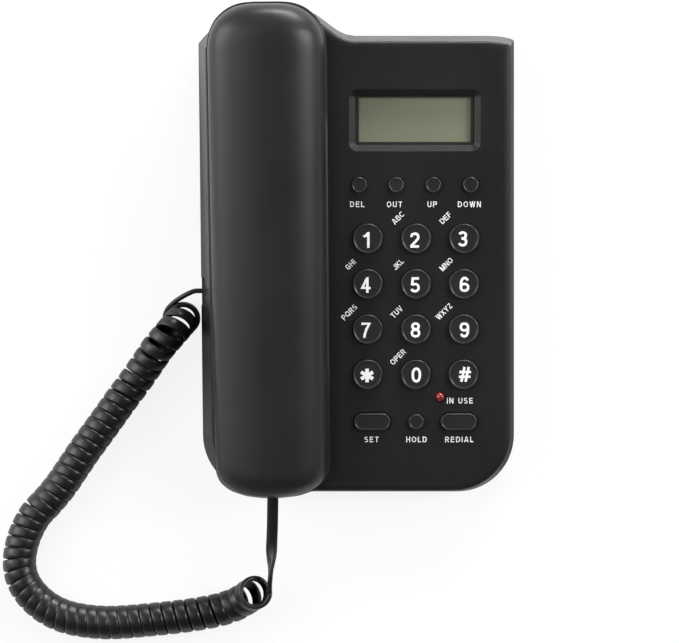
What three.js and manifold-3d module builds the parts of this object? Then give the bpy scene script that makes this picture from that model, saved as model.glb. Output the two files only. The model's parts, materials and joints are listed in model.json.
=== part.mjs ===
// Corded desk telephone: a sloped base with keys and a display, a handset lying in its
// cradle, and the curly cord between them.
// Millimetres. +X runs from the handset to the keys, +Y to the back, +Z up. The origin is
// on the table, below the middle of the telephone without its cord.

import * as THREE from 'three';
import { mergeVertices } from 'three/addons/utils/BufferGeometryUtils.js';
import Module from 'manifold-3d';

const wasm = await Module();
wasm.setup();

const degree = Math.PI / 180;

// Driving dimensions of the base
const panelTilt = 7.9 * degree;
const panelLength = 189.45;
const panelFrontHeight = 20;
const panelFrontY = -100.4;
const caseRight = 66.65;
const caseLeftBack = -67.45;
const leftSplay = 1.9;
const caseLeftFront = caseLeftBack + leftSplay;
const draftLeft = 4.2;
const draftRightBack = 3.2;
const draftRightFront = 2.2;
const draftFront = 2.1;
const frontCornerRadius = 24;
const backCornerDepth = 2.1;
const backCornerWidth = 11;
const lobeDepth = 11.4;
const lobeFootX = -1;
const lobeRightX = -25;
const lobeLeftX = -45;
const leftCornerDepth = 3;
const caseWall = 2.3;
const edgeRollWidth = 6;
const edgeRollDrop = 1.7;
const edgeRollAlongShare = 0.4;
const seamHeight = 9;
const footHeight = 2;

// Clearances
const fitGap = 0.3;
const keyGap = 0.35;
const cutOverrun = 4;

// Driving dimensions of the handset
const handsetLength = 207.5;
const handsetBackWidth = 49.7;
const handsetFrontWidth = 48.2;
const handsetOverhang = 1.4;
const cradleSideGap = 0.95;
const handsetX = caseLeftBack + leftSplay / 2 + draftLeft + cradleSideGap + handsetBackWidth / 2;
const handsetU = handsetLength / 2 - handsetOverhang;
const handsetYaw = 0.64 * degree;
const handsetSeamHeight = 9.5;
const crownHeight = 13.5;
const cupDepth = 21.5;
const gripDepth = 11;
const handsetWall = 2.2;
const shellRim = 0.6;

// Colours of the mouldings and the inner pieces
const colours = {
  housing: 0x2a2a2b, handset: 0x2e2e30, key: 0x161617, window: 0x9aa294, glass: 0x73786a,
  board: 0x2f5a3a, silicone: 0x8b8b86, red: 0xb0201c, steel: 0xa8a8a6, brass: 0xc09a50,
  rubber: 0x1b1b1b, cord: 0x121213, plug: 0xb9bcbd, jack: 0x202022, white: 0xd8d8d2,
};

// Shape helpers

function bare(geometry) {
  const copy = geometry.index ? geometry.toNonIndexed() : geometry.clone();
  for (const name of Object.keys(copy.attributes)) {
    if (name !== 'position') copy.deleteAttribute(name);
  }
  return mergeVertices(copy, 1e-4);
}

function solid(geometry) {
  const plain = bare(geometry);
  const mesh = new wasm.Mesh({
    numProp: 3,
    vertProperties: new Float32Array(plain.attributes.position.array),
    triVerts: new Uint32Array(plain.index.array),
  });
  return new wasm.Manifold(mesh);
}

function geometryOf(body) {
  const mesh = body.getMesh();
  const geometry = new THREE.BufferGeometry();
  geometry.setAttribute('position', new THREE.BufferAttribute(mesh.vertProperties, 3));
  geometry.setIndex(new THREE.BufferAttribute(mesh.triVerts, 1));
  geometry.computeVertexNormals();
  return geometry;
}

function addAll(bodies) {
  return bodies.reduce((whole, body) => whole.add(body));
}

function cutAll(body, cutters) {
  return cutters.reduce((whole, cutter) => whole.subtract(cutter), body);
}

function block(x0, x1, y0, y1, z0, z1) {
  const geometry = new THREE.BoxGeometry(x1 - x0, y1 - y0, z1 - z0);
  geometry.translate((x0 + x1) / 2, (y0 + y1) / 2, (z0 + z1) / 2);
  return geometry;
}

function post(radius, z0, z1, x, y, sides) {
  const geometry = new THREE.CylinderGeometry(radius, radius, z1 - z0, sides);
  geometry.rotateX(Math.PI / 2);
  geometry.translate(x, y, (z0 + z1) / 2);
  return geometry;
}

function prism(shape, z0, z1, arcSteps) {
  const options = { depth: z1 - z0, bevelEnabled: false, curveSegments: arcSteps };
  return new THREE.ExtrudeGeometry(shape, options).translate(0, 0, z0);
}

function roundedRectangle(width, height, radius) {
  const x = width / 2 - radius;
  const y = height / 2 - radius;
  const shape = new THREE.Shape();
  shape.moveTo(x, -y - radius);
  shape.absarc(x, -y, radius, -Math.PI / 2, 0, false);
  shape.absarc(x, y, radius, 0, Math.PI / 2, false);
  shape.absarc(-x, y, radius, Math.PI / 2, Math.PI, false);
  shape.absarc(-x, -y, radius, Math.PI, 3 * Math.PI / 2, false);
  return shape;
}

// A closed skin through rings of equally many points; flat() turns a point into the plane
// of its ring, with the ring counter-clockwise when its stack is seen from the last ring.
function ringStack(rings, flat) {
  const count = rings[0].length;
  const positions = rings.flat().flatMap((p) => [p.x, p.y, p.z]);
  const faces = [];
  for (let ring = 0; ring + 1 < rings.length; ring += 1) {
    for (let i = 0; i < count; i += 1) {
      const a = ring * count + i;
      const b = ring * count + (i + 1) % count;
      faces.push(a, b, b + count, a, b + count, a + count);
    }
  }
  const cap = (ring, turned) => {
    const triangles = THREE.ShapeUtils.triangulateShape(rings[ring].map(flat), []);
    for (const [a, b, c] of triangles) {
      const corners = turned ? [a, c, b] : [a, b, c];
      faces.push(...corners.map((corner) => ring * count + corner));
    }
  };
  cap(0, true);
  cap(rings.length - 1, false);
  const geometry = new THREE.BufferGeometry();
  geometry.setAttribute('position', new THREE.Float32BufferAttribute(positions, 3));
  geometry.setIndex(faces);
  return geometry;
}

const outlineSteps = 7;
const pointMerge = 1e-3;

const flatXY = (p) => new THREE.Vector2(p.x, p.y);
const flatZX = (p) => new THREE.Vector2(p.z, p.x);

function turned(profile, sides) {
  const points = profile.map(([radius, height]) => new THREE.Vector2(radius, height));
  return new THREE.LatheGeometry(points, sides).rotateX(Math.PI / 2);
}

// Group frames: the panel group slopes with the key panel, its Y running up the slope from
// the front edge and its Z standing on the panel; the handset group lies in it.

const phone = new THREE.Group();
const panelGroup = new THREE.Group();
panelGroup.position.set(0, panelFrontY, panelFrontHeight);
panelGroup.rotation.x = panelTilt;
phone.add(panelGroup);
const handsetGroup = new THREE.Group();
handsetGroup.position.set(handsetX, handsetU, handsetSeamHeight);
handsetGroup.rotation.z = handsetYaw;
panelGroup.add(handsetGroup);
phone.updateMatrixWorld(true);

const panelToWorld = panelGroup.matrixWorld;
const worldToPanel = panelToWorld.clone().invert();
const handsetToPanel = handsetGroup.matrix;

function addPiece(group, name, shape, colour, roughness, metalness) {
  const geometry = shape.isBufferGeometry ? bare(shape) : geometryOf(shape);
  const material = new THREE.MeshStandardMaterial({ color: colour, roughness, metalness });
  const mesh = new THREE.Mesh(geometry, material);
  mesh.name = name;
  group.add(mesh);
  return mesh;
}

const gloss = 0.35;
const satin = 0.5;
const matt = 0.8;

// Places on the base follow its size: shares across run from the middle to the right wall, or
// with a minus to the left wall, and shares along run from the front edge to the back one.
function acrossAt(share) {
  return share < 0 ? -share * caseLeftBack : share * caseRight;
}

function alongAt(share) {
  return share * panelLength;
}

function tablePlace([acrossShare, alongShare]) {
  return [acrossAt(acrossShare), panelFrontY + alongAt(alongShare) * Math.cos(panelTilt)];
}

function panelPlace([acrossShare, alongShare]) {
  return [acrossAt(acrossShare), alongAt(alongShare)];
}

// Depth below the sloped panel at which a point stands a given height above the table
function panelDrop(u, height) {
  return (panelFrontHeight + u * Math.sin(panelTilt) - height) / Math.cos(panelTilt);
}

// Plan outline of the base in the panel's plane, counter-clockwise. lean is 0 at the seam
// and 1 at the top edge, where the side and front walls have drawn in. The front and back
// edges take a share of the inset.
function caseOutline(inset, lean, alongShare = 1) {
  const insetAlong = inset * alongShare;
  const front = insetAlong - draftFront * (1 - lean);
  const leftFront = caseLeftFront + draftLeft * lean + inset;
  const leftBack = caseLeftBack + draftLeft * lean + inset;
  const rightFront = caseRight - draftRightFront * lean - inset;
  const rightBack = caseRight - draftRightBack * lean - inset;
  const back = panelLength - insetAlong;
  const lobeBack = panelLength + lobeDepth - insetAlong;
  const radius = frontCornerRadius - inset;
  const leftCorner = panelLength - leftCornerDepth - inset / 2;
  const archShare = 0.4;
  const archX = (lobeFootX - lobeRightX) * archShare;
  const leftArchX = (lobeLeftX - leftBack) * archShare;
  const path = new THREE.Path();
  path.moveTo(leftFront + radius, front);
  path.lineTo(rightFront - radius, front);
  path.absarc(rightFront - radius, front + radius, radius, -Math.PI / 2, 0, false);
  path.lineTo(rightBack, back - backCornerDepth);
  path.bezierCurveTo(
    rightBack, back - backCornerDepth / 2,
    rightBack - backCornerWidth / 2, back,
    rightBack - backCornerWidth, back,
  );
  path.lineTo(lobeFootX - inset / 2, back);
  path.bezierCurveTo(
    lobeFootX - inset / 2 - archX, back,
    lobeRightX + archX, lobeBack,
    lobeRightX, lobeBack,
  );
  path.lineTo(lobeLeftX, lobeBack);
  path.bezierCurveTo(
    lobeLeftX - leftArchX, lobeBack,
    leftBack + leftArchX / 2, leftCorner + lobeDepth / 2,
    leftBack, leftCorner,
  );
  path.lineTo(leftFront, front + radius);
  path.absarc(leftFront + radius, front + radius, radius, Math.PI, 3 * Math.PI / 2, false);
  return distinct(path.getPoints(outlineSteps));
}

// A closed outline's points without repeats
function distinct(points) {
  return points.filter((p, index) => {
    const next = points[(index + 1) % points.length];
    return p.distanceTo(next) > pointMerge;
  });
}

// Ring of the outline, level at a height above the table (in panel coordinates)
function levelRing(inset, height) {
  return caseOutline(inset, 0).map((p) => new THREE.Vector3(p.x, p.y, -panelDrop(p.y, height)));
}

// Ring of the outline at a depth below the panel
function slopedRing(inset, depth, alongShare) {
  return caseOutline(inset, 1, alongShare).map((p) => new THREE.Vector3(p.x, p.y, -depth));
}

// Handset form. The end table gives, from the end inwards, the distance (share of the end
// rounding), half width, crown height and cup depth.
const mouthRounding = 16;
const earRounding = 20;
const cupLength = 44;
const cupRamp = 10;
const endShares = [
  [0, 0.22, 0.4, 0.1],
  [0.05, 0.4, 0.6, 0.2],
  [0.13, 0.59, 0.75, 0.3],
  [0.26, 0.77, 0.88, 0.38],
  [0.45, 0.888, 0.975, 0.46],
  [0.59, 0.94, 0.995, 0.56],
  [0.81, 0.985, 1, 1],
  [1, 1, 1, 1],
];
const flankShares = [[1, 0], [0.97, 0.15], [0.9, 0.44], [0.84, 0.75], [0.79, 0.93], [0.72, 1]];
const flankShareAtPanel = 0.9;
const crownPower = 2.3;
const crownSteps = 12;

function handsetHalfWidth(y) {
  const share = y / handsetLength + 0.5;
  return (handsetFrontWidth + (handsetBackWidth - handsetFrontWidth) * share) / 2;
}

// Stations along the handset: place, half width, crown height and depth
function handsetStations(inset) {
  const half = handsetLength / 2;
  const grip = (gripDepth - inset);
  const cup = (cupDepth - inset);
  const crown = (crownHeight - inset);
  const endStations = (rounding) => {
    const end = endShares.map(([along, width, rise, sink]) => ({
      place: half - inset - along * rounding,
      width, rise: rise * crown, sink: sink * cup,
    }));
    end.push({ place: half - cupLength, width: 1, rise: crown, sink: cup });
    end.push({ place: half - cupLength - cupRamp, width: 1, rise: crown, sink: grip });
    return end;
  };
  const front = endStations(mouthRounding).map((station) => ({ ...station, place: -station.place }));
  return [...front, ...endStations(earRounding).reverse()];
}

function handsetForm(inset) {
  const rings = handsetStations(inset).map((station) => {
    const half = station.width * handsetHalfWidth(station.place) - inset;
    const ring = [];
    for (const [across, down] of flankShares) {
      ring.push(new THREE.Vector3(half * across, station.place, -station.sink * down));
    }
    for (const [across, down] of [...flankShares].reverse()) {
      ring.push(new THREE.Vector3(-half * across, station.place, -station.sink * down));
    }
    for (let step = 1; step < crownSteps; step += 1) {
      const angle = Math.PI * (1 - step / crownSteps);
      const across = Math.sign(Math.cos(angle)) * Math.abs(Math.cos(angle)) ** (2 / crownPower);
      const up = Math.sin(angle) ** (2 / crownPower);
      ring.push(new THREE.Vector3(half * across, station.place, station.rise * up));
    }
    return ring;
  });
  return ringStack(rings, flatZX);
}

// Cradle: an open tray under the whole handset, and a well for each of its cups
const trayDepth = 2.2;
const trayClearance = 0.5;
const cradleFloor = 2;
const wellEndShare = 0.53;
const wellEndDistance = mouthRounding * wellEndShare;
const wellEndClearance = 0.7;
const wellLength = cupLength + cupRamp + wellEndClearance - wellEndDistance;
const wellCorner = 6;
const wellDepth = cupDepth - handsetSeamHeight + fitGap;

function cradleTray(margin, z0, z1) {
  const outline = handsetStations(0).map((station) => {
    const half = station.width * handsetHalfWidth(station.place) * flankShareAtPanel;
    return [half + trayClearance + margin, station.place];
  });
  const right = outline.map(([x, y]) => new THREE.Vector2(x, y));
  const left = outline.map(([x, y]) => new THREE.Vector2(-x, y)).reverse();
  return prism(new THREE.Shape([...right, ...left]), z0, z1, 1).applyMatrix4(trayMatrix());
}

function trayMatrix() {
  const matrix = handsetToPanel.clone();
  const lift = new THREE.Matrix4().makeTranslation(0, 0, -handsetSeamHeight);
  return matrix.multiply(lift);
}

function cradleWell(side, margin, z0, z1) {
  const middle = side * (handsetLength / 2 - wellEndDistance - wellLength / 2);
  const width = 2 * (handsetHalfWidth(middle) * flankShareAtPanel + trayClearance + margin);
  const shape = roundedRectangle(width, wellLength + 2 * margin, wellCorner + margin);
  return prism(shape, z0, z1, 4).translate(0, middle, 0).applyMatrix4(trayMatrix());
}

// Keys: places on the panel, across (x) and up the slope (u)
const keyColumnShares = [0.0645, 0.3676, 0.6677];
const keyRowShares = [0.5664, 0.4656, 0.3647, 0.264];
const smallKeyColumnShares = [0.0112, 0.2415, 0.4742, 0.7067];
const smallKeyRowShare = 0.6846;
const pillKeyColumnShares = [0.093, 0.6399];
const holdKeyColumnShare = 0.3706;
const bottomKeyRowShare = 0.1573;
const keyColumnsX = keyColumnShares.map(acrossAt);
const keyRowsU = keyRowShares.map(alongAt);
const smallKeysX = smallKeyColumnShares.map(acrossAt);
const smallKeysU = alongAt(smallKeyRowShare);
const pillKeysX = pillKeyColumnShares.map(acrossAt);
const holdKeyX = acrossAt(holdKeyColumnShare);
const bottomKeysU = alongAt(bottomKeyRowShare);
const numberKeyRadius = 6.25;
const smallKeyRadius = 3.2;
const pillLength = 15.6;
const pillWidth = 7.4;
const numberKeyRise = 2;
const smallKeyRise = 1.6;
const keyTravel = 1.2;
const keyFlange = 1.1;
const keyFlangeHeight = 1.2;
const keyEdge = 0.5;
const numberKeyNames = ['1', '2', '3', '4', '5', '6', '7', '8', '9', 'star', '0', 'hash'];
const smallKeyNames = ['del', 'out', 'up', 'down'];
const pillKeyNames = ['set', 'redial'];

const keys = [];
numberKeyNames.forEach((name, index) => {
  const x = keyColumnsX[index % keyColumnsX.length];
  const u = keyRowsU[Math.floor(index / keyColumnsX.length)];
  keys.push({ name: `key_${name}`, x, u, radius: numberKeyRadius, rise: numberKeyRise, sides: 16 });
});
smallKeyNames.forEach((name, index) => {
  const x = smallKeysX[index];
  keys.push({
    name: `key_${name}`, x, u: smallKeysU, radius: smallKeyRadius, rise: smallKeyRise, sides: 12,
  });
});
keys.push({
  name: 'key_hold', x: holdKeyX, u: bottomKeysU, radius: smallKeyRadius, rise: smallKeyRise, sides: 12,
});
const pills = pillKeyNames.map((name, index) => ({ name: `key_${name}`, x: pillKeysX[index] }));

function pillShape(margin) {
  const width = pillWidth + 2 * margin;
  return roundedRectangle(pillLength + 2 * margin, width, width / 2);
}

// Display: the window lies in a bevelled recess, over a ledge
const displayPlaceShares = [0.3571, 0.8266];
const [displayX, displayU] = panelPlace(displayPlaceShares);
const windowWidth = 48.8;
const windowHeight = 20;
const windowCorner = 0.6;
const viewCorner = 0.5;
const windowThickness = 1.2;
const windowRecess = 1.5;
const recessBevel = 2.6;
const windowLedgeAcross = 1.15;
const windowLedgeAlong = 0.7;
const ledgeThickness = 1.2;
const displayGlassWidth = 50;
const displayGlassHeight = 21.6;
const displayGlassThickness = 1.6;

const windowFloor = windowRecess + windowThickness + fitGap;
const ledgeUnderside = windowFloor + ledgeThickness;

// Stack below the panel
const keyUnderside = caseWall + fitGap + keyFlangeHeight;
const padTop = keyUnderside + keyTravel + fitGap;
const padHeight = 0.6;
const membraneThickness = 1.4;
const membraneTop = padTop + padHeight;
const boardTop = membraneTop + membraneThickness + fitGap;
const boardThickness = 1.6;
const boardWallGap = 0.8;
const boardCradleGap = 3.1;
const boardRight = caseRight - draftRightBack - caseWall - boardWallGap;
const boardLeft = handsetX + handsetBackWidth / 2 * flankShareAtPanel
  + trayClearance + cradleFloor + boardCradleGap;
const boardFrontShare = 0.1161;
const boardBackShare = 0.9184;
const boardFront = alongAt(boardFrontShare);
const boardBack = alongAt(boardBackShare);
const boardBossRadius = 2.6;
const boardBossInset = 3.5;
const boardScrewRadius = 1.2;
const boardScrewPlaces = [
  [boardRight - boardBossInset, boardFront + boardBossInset],
  [boardRight - boardBossInset, boardBack - boardBossInset],
];
const boardPostShares = [0.7258, 0.2111];
const boardPostPlaces = boardPostShares.map((share) => [boardLeft + boardBossRadius, alongAt(share)]);

// Lamp
const ledPlaceShares = [0.5237, 0.2127];
const [ledX, ledU] = panelPlace(ledPlaceShares);
const ledRadius = 2;
const ledRise = 0.8;
const ledFlange = 0.6;

// Case screws and feet, on the table plane. Two screws stand under the keys' side and two
// under the cradle, between its wells.
const screwHeadRadius = 3;
const screwHeadHeight = 2.2;
const screwShankRadius = 1.5;
const screwBossWall = 1.7;
const screwReach = 7;
const footRadius = 6.5;
const footRecess = 1.2;
const coverFloor = 2.3;
const coverTop = footHeight + coverFloor;
const screwHeadRecess = 1.2;
const screwHeadSeat = footHeight + screwHeadRecess + screwHeadHeight;
const bossBreak = seamHeight + fitGap / 2;
const coverBossRadius = screwHeadRadius + fitGap + screwBossWall;

// Hook switch and its plunger, along the handset's middle line
const hookHeadRadius = 4;
const hookTravel = 5;
const hookFlangeRadius = 5.4;
const hookFlangeHeight = 1.2;
const hookStemRadius = 1.6;
const hookTubeRadius = 7.2;
const hookWellGap = 2.1;
const hookDistance = wellEndDistance + wellLength + cradleFloor + hookWellGap + hookTubeRadius;
const hookSwitchHeight = 9;
const hookSwitchWidth = 12.8;
const hookSwitchLength = 6.5;
const hookCentre = new THREE.Vector3(0, handsetLength / 2 - hookDistance, 0)
  .applyMatrix4(trayMatrix());
const hookSwitchStandoff = 2;
const hookTubeDepth = panelDrop(hookCentre.y, coverTop) - hookSwitchStandoff - hookSwitchHeight - fitGap;

const screwHookGap = 1.1;
const screwWellGap = 10.4;
const cradleScrewAlong = [
  handsetLength / 2 - hookDistance - hookTubeRadius - screwHookGap - coverBossRadius,
  wellEndDistance + wellLength + cradleFloor + screwWellGap + coverBossRadius - handsetLength / 2,
];
const keySideScrewShares = [[0.6602, 0.0501], [0.7502, 0.964]];
const caseScrewPlaces = [
  ...keySideScrewShares.map(tablePlace),
  ...cradleScrewAlong.map((along) => {
    const place = new THREE.Vector3(0, along, 0).applyMatrix4(trayMatrix()).applyMatrix4(panelToWorld);
    return [place.x, place.y];
  }),
];
const footShares = [[0.7502, 0.1354], [-0.7116, 0.1247], [0.7802, 0.8761], [-0.771, 0.9667]];
const footPlaces = footShares.map(tablePlace);

// Sockets: outer size (across, along, high) and the opening in them
const handsetJackSize = [11, 14, 8.6];
const handsetJackOpening = [8, 12, 6.8];
const lineJackSize = [14, 15, 12];
const lineJackOpening = [9.8, 13, 8.6];
const plugSize = [7.4, 11.6, 6.2];
const baseJackShare = 0.4508;
const baseJackY = panelFrontY + alongAt(baseJackShare) * Math.cos(panelTilt);
const baseJackHeight = coverTop + fitGap + handsetJackSize[2] / 2;
const lineJackX = (lobeLeftX + lobeRightX) / 2;
const lineJackU = panelLength + lobeDepth;
const lineJackHeight = 14.3;
const lineJackDepth = panelDrop(lineJackU, lineJackHeight);
const baseJackFront = caseLeftFront + fitGap;

// Case

const trayUnderside = trayDepth + cradleFloor;
const rollShares = [[0, 1], [0.06, 0.55], [0.25, 0.25], [0.55, 0.07], [1, 0]];

function topCase() {
  const overrun = cutOverrun;
  const outer = solid(ringStack([
    levelRing(0, seamHeight + fitGap / 2),
    ...rollShares.map(([across, down]) =>
      slopedRing(across * edgeRollWidth, down * edgeRollDrop, edgeRollAlongShare)),
  ], flatXY));
  const hollow = solid(ringStack([
    levelRing(caseWall, seamHeight - overrun),
    slopedRing(caseWall, caseWall),
  ], flatXY));
  const wellFloor = wellDepth + cradleFloor;
  const windowBlock = prism(
    roundedRectangle(windowWidth + 2 * cradleFloor, windowHeight + 2 * cradleFloor, windowCorner),
    -ledgeUnderside, overrun, 2,
  ).translate(displayX, displayU, 0);
  const boardPosts = [...boardScrewPlaces, ...boardPostPlaces].map(([x, u]) =>
    post(boardBossRadius, -(boardTop - fitGap), 0, x, u, 10));
  const hookTube = post(hookTubeRadius, -hookTubeDepth, 0, hookCentre.x, hookCentre.y, 16);
  const filled = [
    cradleTray(cradleFloor, -trayUnderside, overrun),
    cradleWell(1, cradleFloor, -wellFloor, overrun),
    cradleWell(-1, cradleFloor, -wellFloor, overrun),
    windowBlock, ...boardPosts, hookTube,
    ...caseScrewPlaces.map(([x, y]) =>
      post(screwShankRadius + fitGap + screwBossWall, bossBreak, seamHeight + panelLength, x, y, 8)
        .applyMatrix4(worldToPanel)),
  ].map(solid);
  const insideCover = solid(ringStack([
    levelRing(caseWall + fitGap, coverTop + fitGap),
    levelRing(caseWall + fitGap, seamHeight + overrun),
  ], flatXY));
  const wellFeet = [1, -1].map((side) =>
    solid(cradleWell(side, cradleFloor, -wellFloor, -trayUnderside)).intersect(insideCover));
  const shell = addAll([outer.subtract(cutAll(hollow, filled)), ...wellFeet]);
  const cuts = [
    cradleTray(0, -trayDepth, handsetSeamHeight),
    cradleWell(1, 0, -wellDepth, overrun),
    cradleWell(-1, 0, -wellDepth, overrun),
    ...keys.map((key) => post(key.radius + keyGap, -caseWall - overrun, overrun, key.x, key.u, key.sides)),
    ...pills.map((pill) => prism(pillShape(keyGap), -caseWall - overrun, overrun, 4)
      .translate(pill.x, bottomKeysU, 0)),
    post(ledRadius + fitGap, -caseWall - overrun, overrun, ledX, ledU, 12),
    ...boardScrewPlaces.map(([x, u]) =>
      post(boardScrewRadius + fitGap, -boardTop - overrun, -caseWall - fitGap, x, u, 8)),
    post(hookHeadRadius + fitGap, -hookTubeDepth, 0, hookCentre.x, hookCentre.y, 16),
    post(hookFlangeRadius + fitGap, -hookTubeDepth - overrun, -trayUnderside,
      hookCentre.x, hookCentre.y, 16),
    displayRecess(),
    prism(
      roundedRectangle(windowWidth - 2 * windowLedgeAcross, windowHeight - 2 * windowLedgeAlong, viewCorner),
      -ledgeUnderside - overrun, overrun, 2,
    ).translate(displayX, displayU, 0),
    ...caseScrewPlaces.map(([x, y]) =>
      post(screwShankRadius + fitGap, seamHeight - overrun, seamHeight + screwReach + fitGap, x, y, 10)
        .applyMatrix4(worldToPanel)),
    jackBlock(handsetJackSize, fitGap, cutOverrun).applyMatrix4(baseJackMatrix())
      .applyMatrix4(worldToPanel),
    jackBlock(lineJackSize, fitGap, cutOverrun).applyMatrix4(lineJackMatrix())
      .applyMatrix4(worldToPanel),
  ].map(solid);
  return cutAll(shell, cuts);
}

// Bevelled recess with a pocket for the window
function displayRecess() {
  const ring = (margin, z) => distinct(roundedRectangle(
    windowWidth + 2 * (fitGap + margin), windowHeight + 2 * (fitGap + margin),
    windowCorner + fitGap + margin,
  ).getPoints(3)).map((p) => new THREE.Vector3(p.x + displayX, p.y + displayU, z));
  return ringStack([
    ring(0, -windowFloor),
    ring(0, -windowRecess),
    ring(recessBevel, 0),
    ring(recessBevel, cutOverrun),
  ], flatXY);
}

addPiece(panelGroup, 'top_case', topCase(), colours.housing, satin, 0);

// Bottom cover: a shallow tray with a rounded lower edge, screw bosses and socket seats
const coverEdgeShares = [[1, 0], [0.3, 0.35], [0, 1]];
const coverEdgeWidth = 2;
const coverEdgeHeight = 2.4;
const ringerPlaceShares = [0.18, 0.6736];
const ringerPlace = tablePlace(ringerPlaceShares);
const ringerRadius = 15;
const ringerHeight = 5;
const ringerHoleRadius = 1.4;
const ringerHoleCircle = 7;
const ringerHoleCount = 6;
const jackRibWidth = 2;

function coverPoints(inset, height) {
  return levelRing(inset, height).map((p) => p.applyMatrix4(panelToWorld));
}

function bottomCover() {
  const outer = solid(ringStack([
    ...coverEdgeShares.map(([across, up]) =>
      coverPoints(across * coverEdgeWidth, footHeight + up * coverEdgeHeight)),
    coverPoints(0, seamHeight - fitGap / 2),
  ], flatXY));
  const hollow = solid(ringStack([
    coverPoints(caseWall, coverTop),
    coverPoints(caseWall, seamHeight + cutOverrun),
  ], flatXY));
  const [handsetAcross, handsetAlong] = handsetJackSize;
  const [lineAcross, lineAlong] = lineJackSize;
  const seats = [
    ...[-1, 1].map((side) => {
      const y = baseJackY + side * (handsetAcross / 2 + fitGap + jackRibWidth / 2);
      return block(baseJackFront + caseWall, baseJackFront + handsetAlong,
        y - jackRibWidth / 2, y + jackRibWidth / 2,
        footHeight + coverFloor / 2, seamHeight - fitGap);
    }),
    ...[-1, 1].map((side) => {
      const x = lineJackX + side * (lineAcross / 2 - jackRibWidth);
      const back = lineJackWorldBack();
      return block(x - jackRibWidth / 2, x + jackRibWidth / 2, back - lineAlong, back - jackRibWidth,
        footHeight + coverFloor / 2, seamHeight);
    }),
  ].map(solid);
  const bosses = caseScrewPlaces.map(([x, y]) =>
    solid(post(coverBossRadius, footHeight + coverFloor / 2, seamHeight - fitGap / 2, x, y, 12)));
  const cuts = [
    ...caseScrewPlaces.flatMap(([x, y]) => [
      post(screwHeadRadius + fitGap, footHeight - cutOverrun, screwHeadSeat + fitGap, x, y, 12),
      post(screwShankRadius + fitGap, footHeight, seamHeight + cutOverrun, x, y, 10),
    ]),
    ...footPlaces.map(([x, y]) =>
      post(footRadius + fitGap, footHeight - cutOverrun, footHeight + footRecess, x, y, 14)),
    ...Array.from({ length: ringerHoleCount }, (_, index) => {
      const angle = index / ringerHoleCount * 2 * Math.PI;
      const x = ringerPlace[0] + ringerHoleCircle * Math.cos(angle);
      const y = ringerPlace[1] + ringerHoleCircle * Math.sin(angle);
      return post(ringerHoleRadius, footHeight - cutOverrun, coverTop + cutOverrun / 2, x, y, 8);
    }),
    jackBlock(handsetJackSize, fitGap, cutOverrun).applyMatrix4(baseJackMatrix()),
    jackBlock(lineJackSize, fitGap, cutOverrun).applyMatrix4(lineJackMatrix()),
  ].map(solid);
  return cutAll(addAll([outer.subtract(hollow), ...seats, ...bosses]), cuts);
}

// Socket shapes: the mouth is at y 0, the body behind it towards -Y. A cut for a socket has a
// margin round it and reaches out past its mouth.
function jackBlock([across, along, high], margin, reach) {
  return block(-across / 2 - margin, across / 2 + margin, -along - margin, reach,
    -high / 2 - margin, high / 2 + margin);
}

function jack(size, opening) {
  const [across, along, high] = opening;
  const mouth = block(-across / 2, across / 2, -along, cutOverrun, -high / 2, high / 2);
  return solid(jackBlock(size, 0, 0)).subtract(solid(mouth));
}

function baseJackMatrix() {
  const matrix = new THREE.Matrix4().makeRotationZ(Math.PI / 2);
  return matrix.setPosition(baseJackFront, baseJackY, baseJackHeight);
}

function lineJackMatrix() {
  const matrix = new THREE.Matrix4()
    .makeTranslation(lineJackX, lineJackU - fitGap, -lineJackDepth);
  return panelToWorld.clone().multiply(matrix);
}

function lineJackWorldBack() {
  return new THREE.Vector3().setFromMatrixPosition(lineJackMatrix()).y;
}

addPiece(phone, 'bottom_cover', bottomCover(), colours.housing, matt, 0);

// Fixed pieces inside the base

const baseJackMesh = addPiece(
  phone, 'base_jack', jack(handsetJackSize, handsetJackOpening), colours.jack, satin, 0,
);
baseJackMesh.applyMatrix4(baseJackMatrix());
const lineJackMesh = addPiece(
  phone, 'line_jack', jack(lineJackSize, lineJackOpening), colours.jack, satin, 0,
);
lineJackMesh.applyMatrix4(lineJackMatrix());

footPlaces.forEach(([x, y], index) => {
  const edge = 0.6;
  const top = footHeight + footRecess - fitGap;
  const foot = turned([
    [0, 0], [footRadius - edge, 0], [footRadius, edge], [footRadius, top], [0, top],
  ], 14);
  addPiece(phone, `foot_${index + 1}`, foot.translate(x, y, 0), colours.rubber, matt, 0);
});

caseScrewPlaces.forEach(([x, y], index) => {
  const screw = turned([
    [0, screwHeadSeat - screwHeadHeight], [screwHeadRadius, screwHeadSeat - screwHeadHeight],
    [screwHeadRadius, screwHeadSeat], [screwShankRadius, screwHeadSeat],
    [screwShankRadius, seamHeight + screwReach], [0, seamHeight + screwReach],
  ], 10);
  addPiece(phone, `case_screw_${index + 1}`, screw.translate(x, y, 0), colours.steel, gloss, 1);
});

const ballastCornerShares = [[-0.0593, 0.0874], [0.5401, 0.2792]];
const ballastThickness = 4;
const [ballastLeft, ballastFront] = tablePlace(ballastCornerShares[0]);
const [ballastRight, ballastBack] = tablePlace(ballastCornerShares[1]);
addPiece(phone, 'ballast_plate', block(
  ballastLeft, ballastRight, ballastFront, ballastBack,
  coverTop + fitGap, coverTop + fitGap + ballastThickness,
), colours.steel, satin, 1);

const ringerBezel = 1;
const ringer = turned([
  [0, 0], [ringerRadius - ringerBezel, 0], [ringerRadius, ringerBezel],
  [ringerRadius, ringerHeight], [0, ringerHeight],
], 20);
ringer.translate(ringerPlace[0], ringerPlace[1], coverTop + fitGap);
addPiece(phone, 'ringer', ringer, colours.brass, satin, 1);

// Board, membrane and display, in the panel's frame

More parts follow.
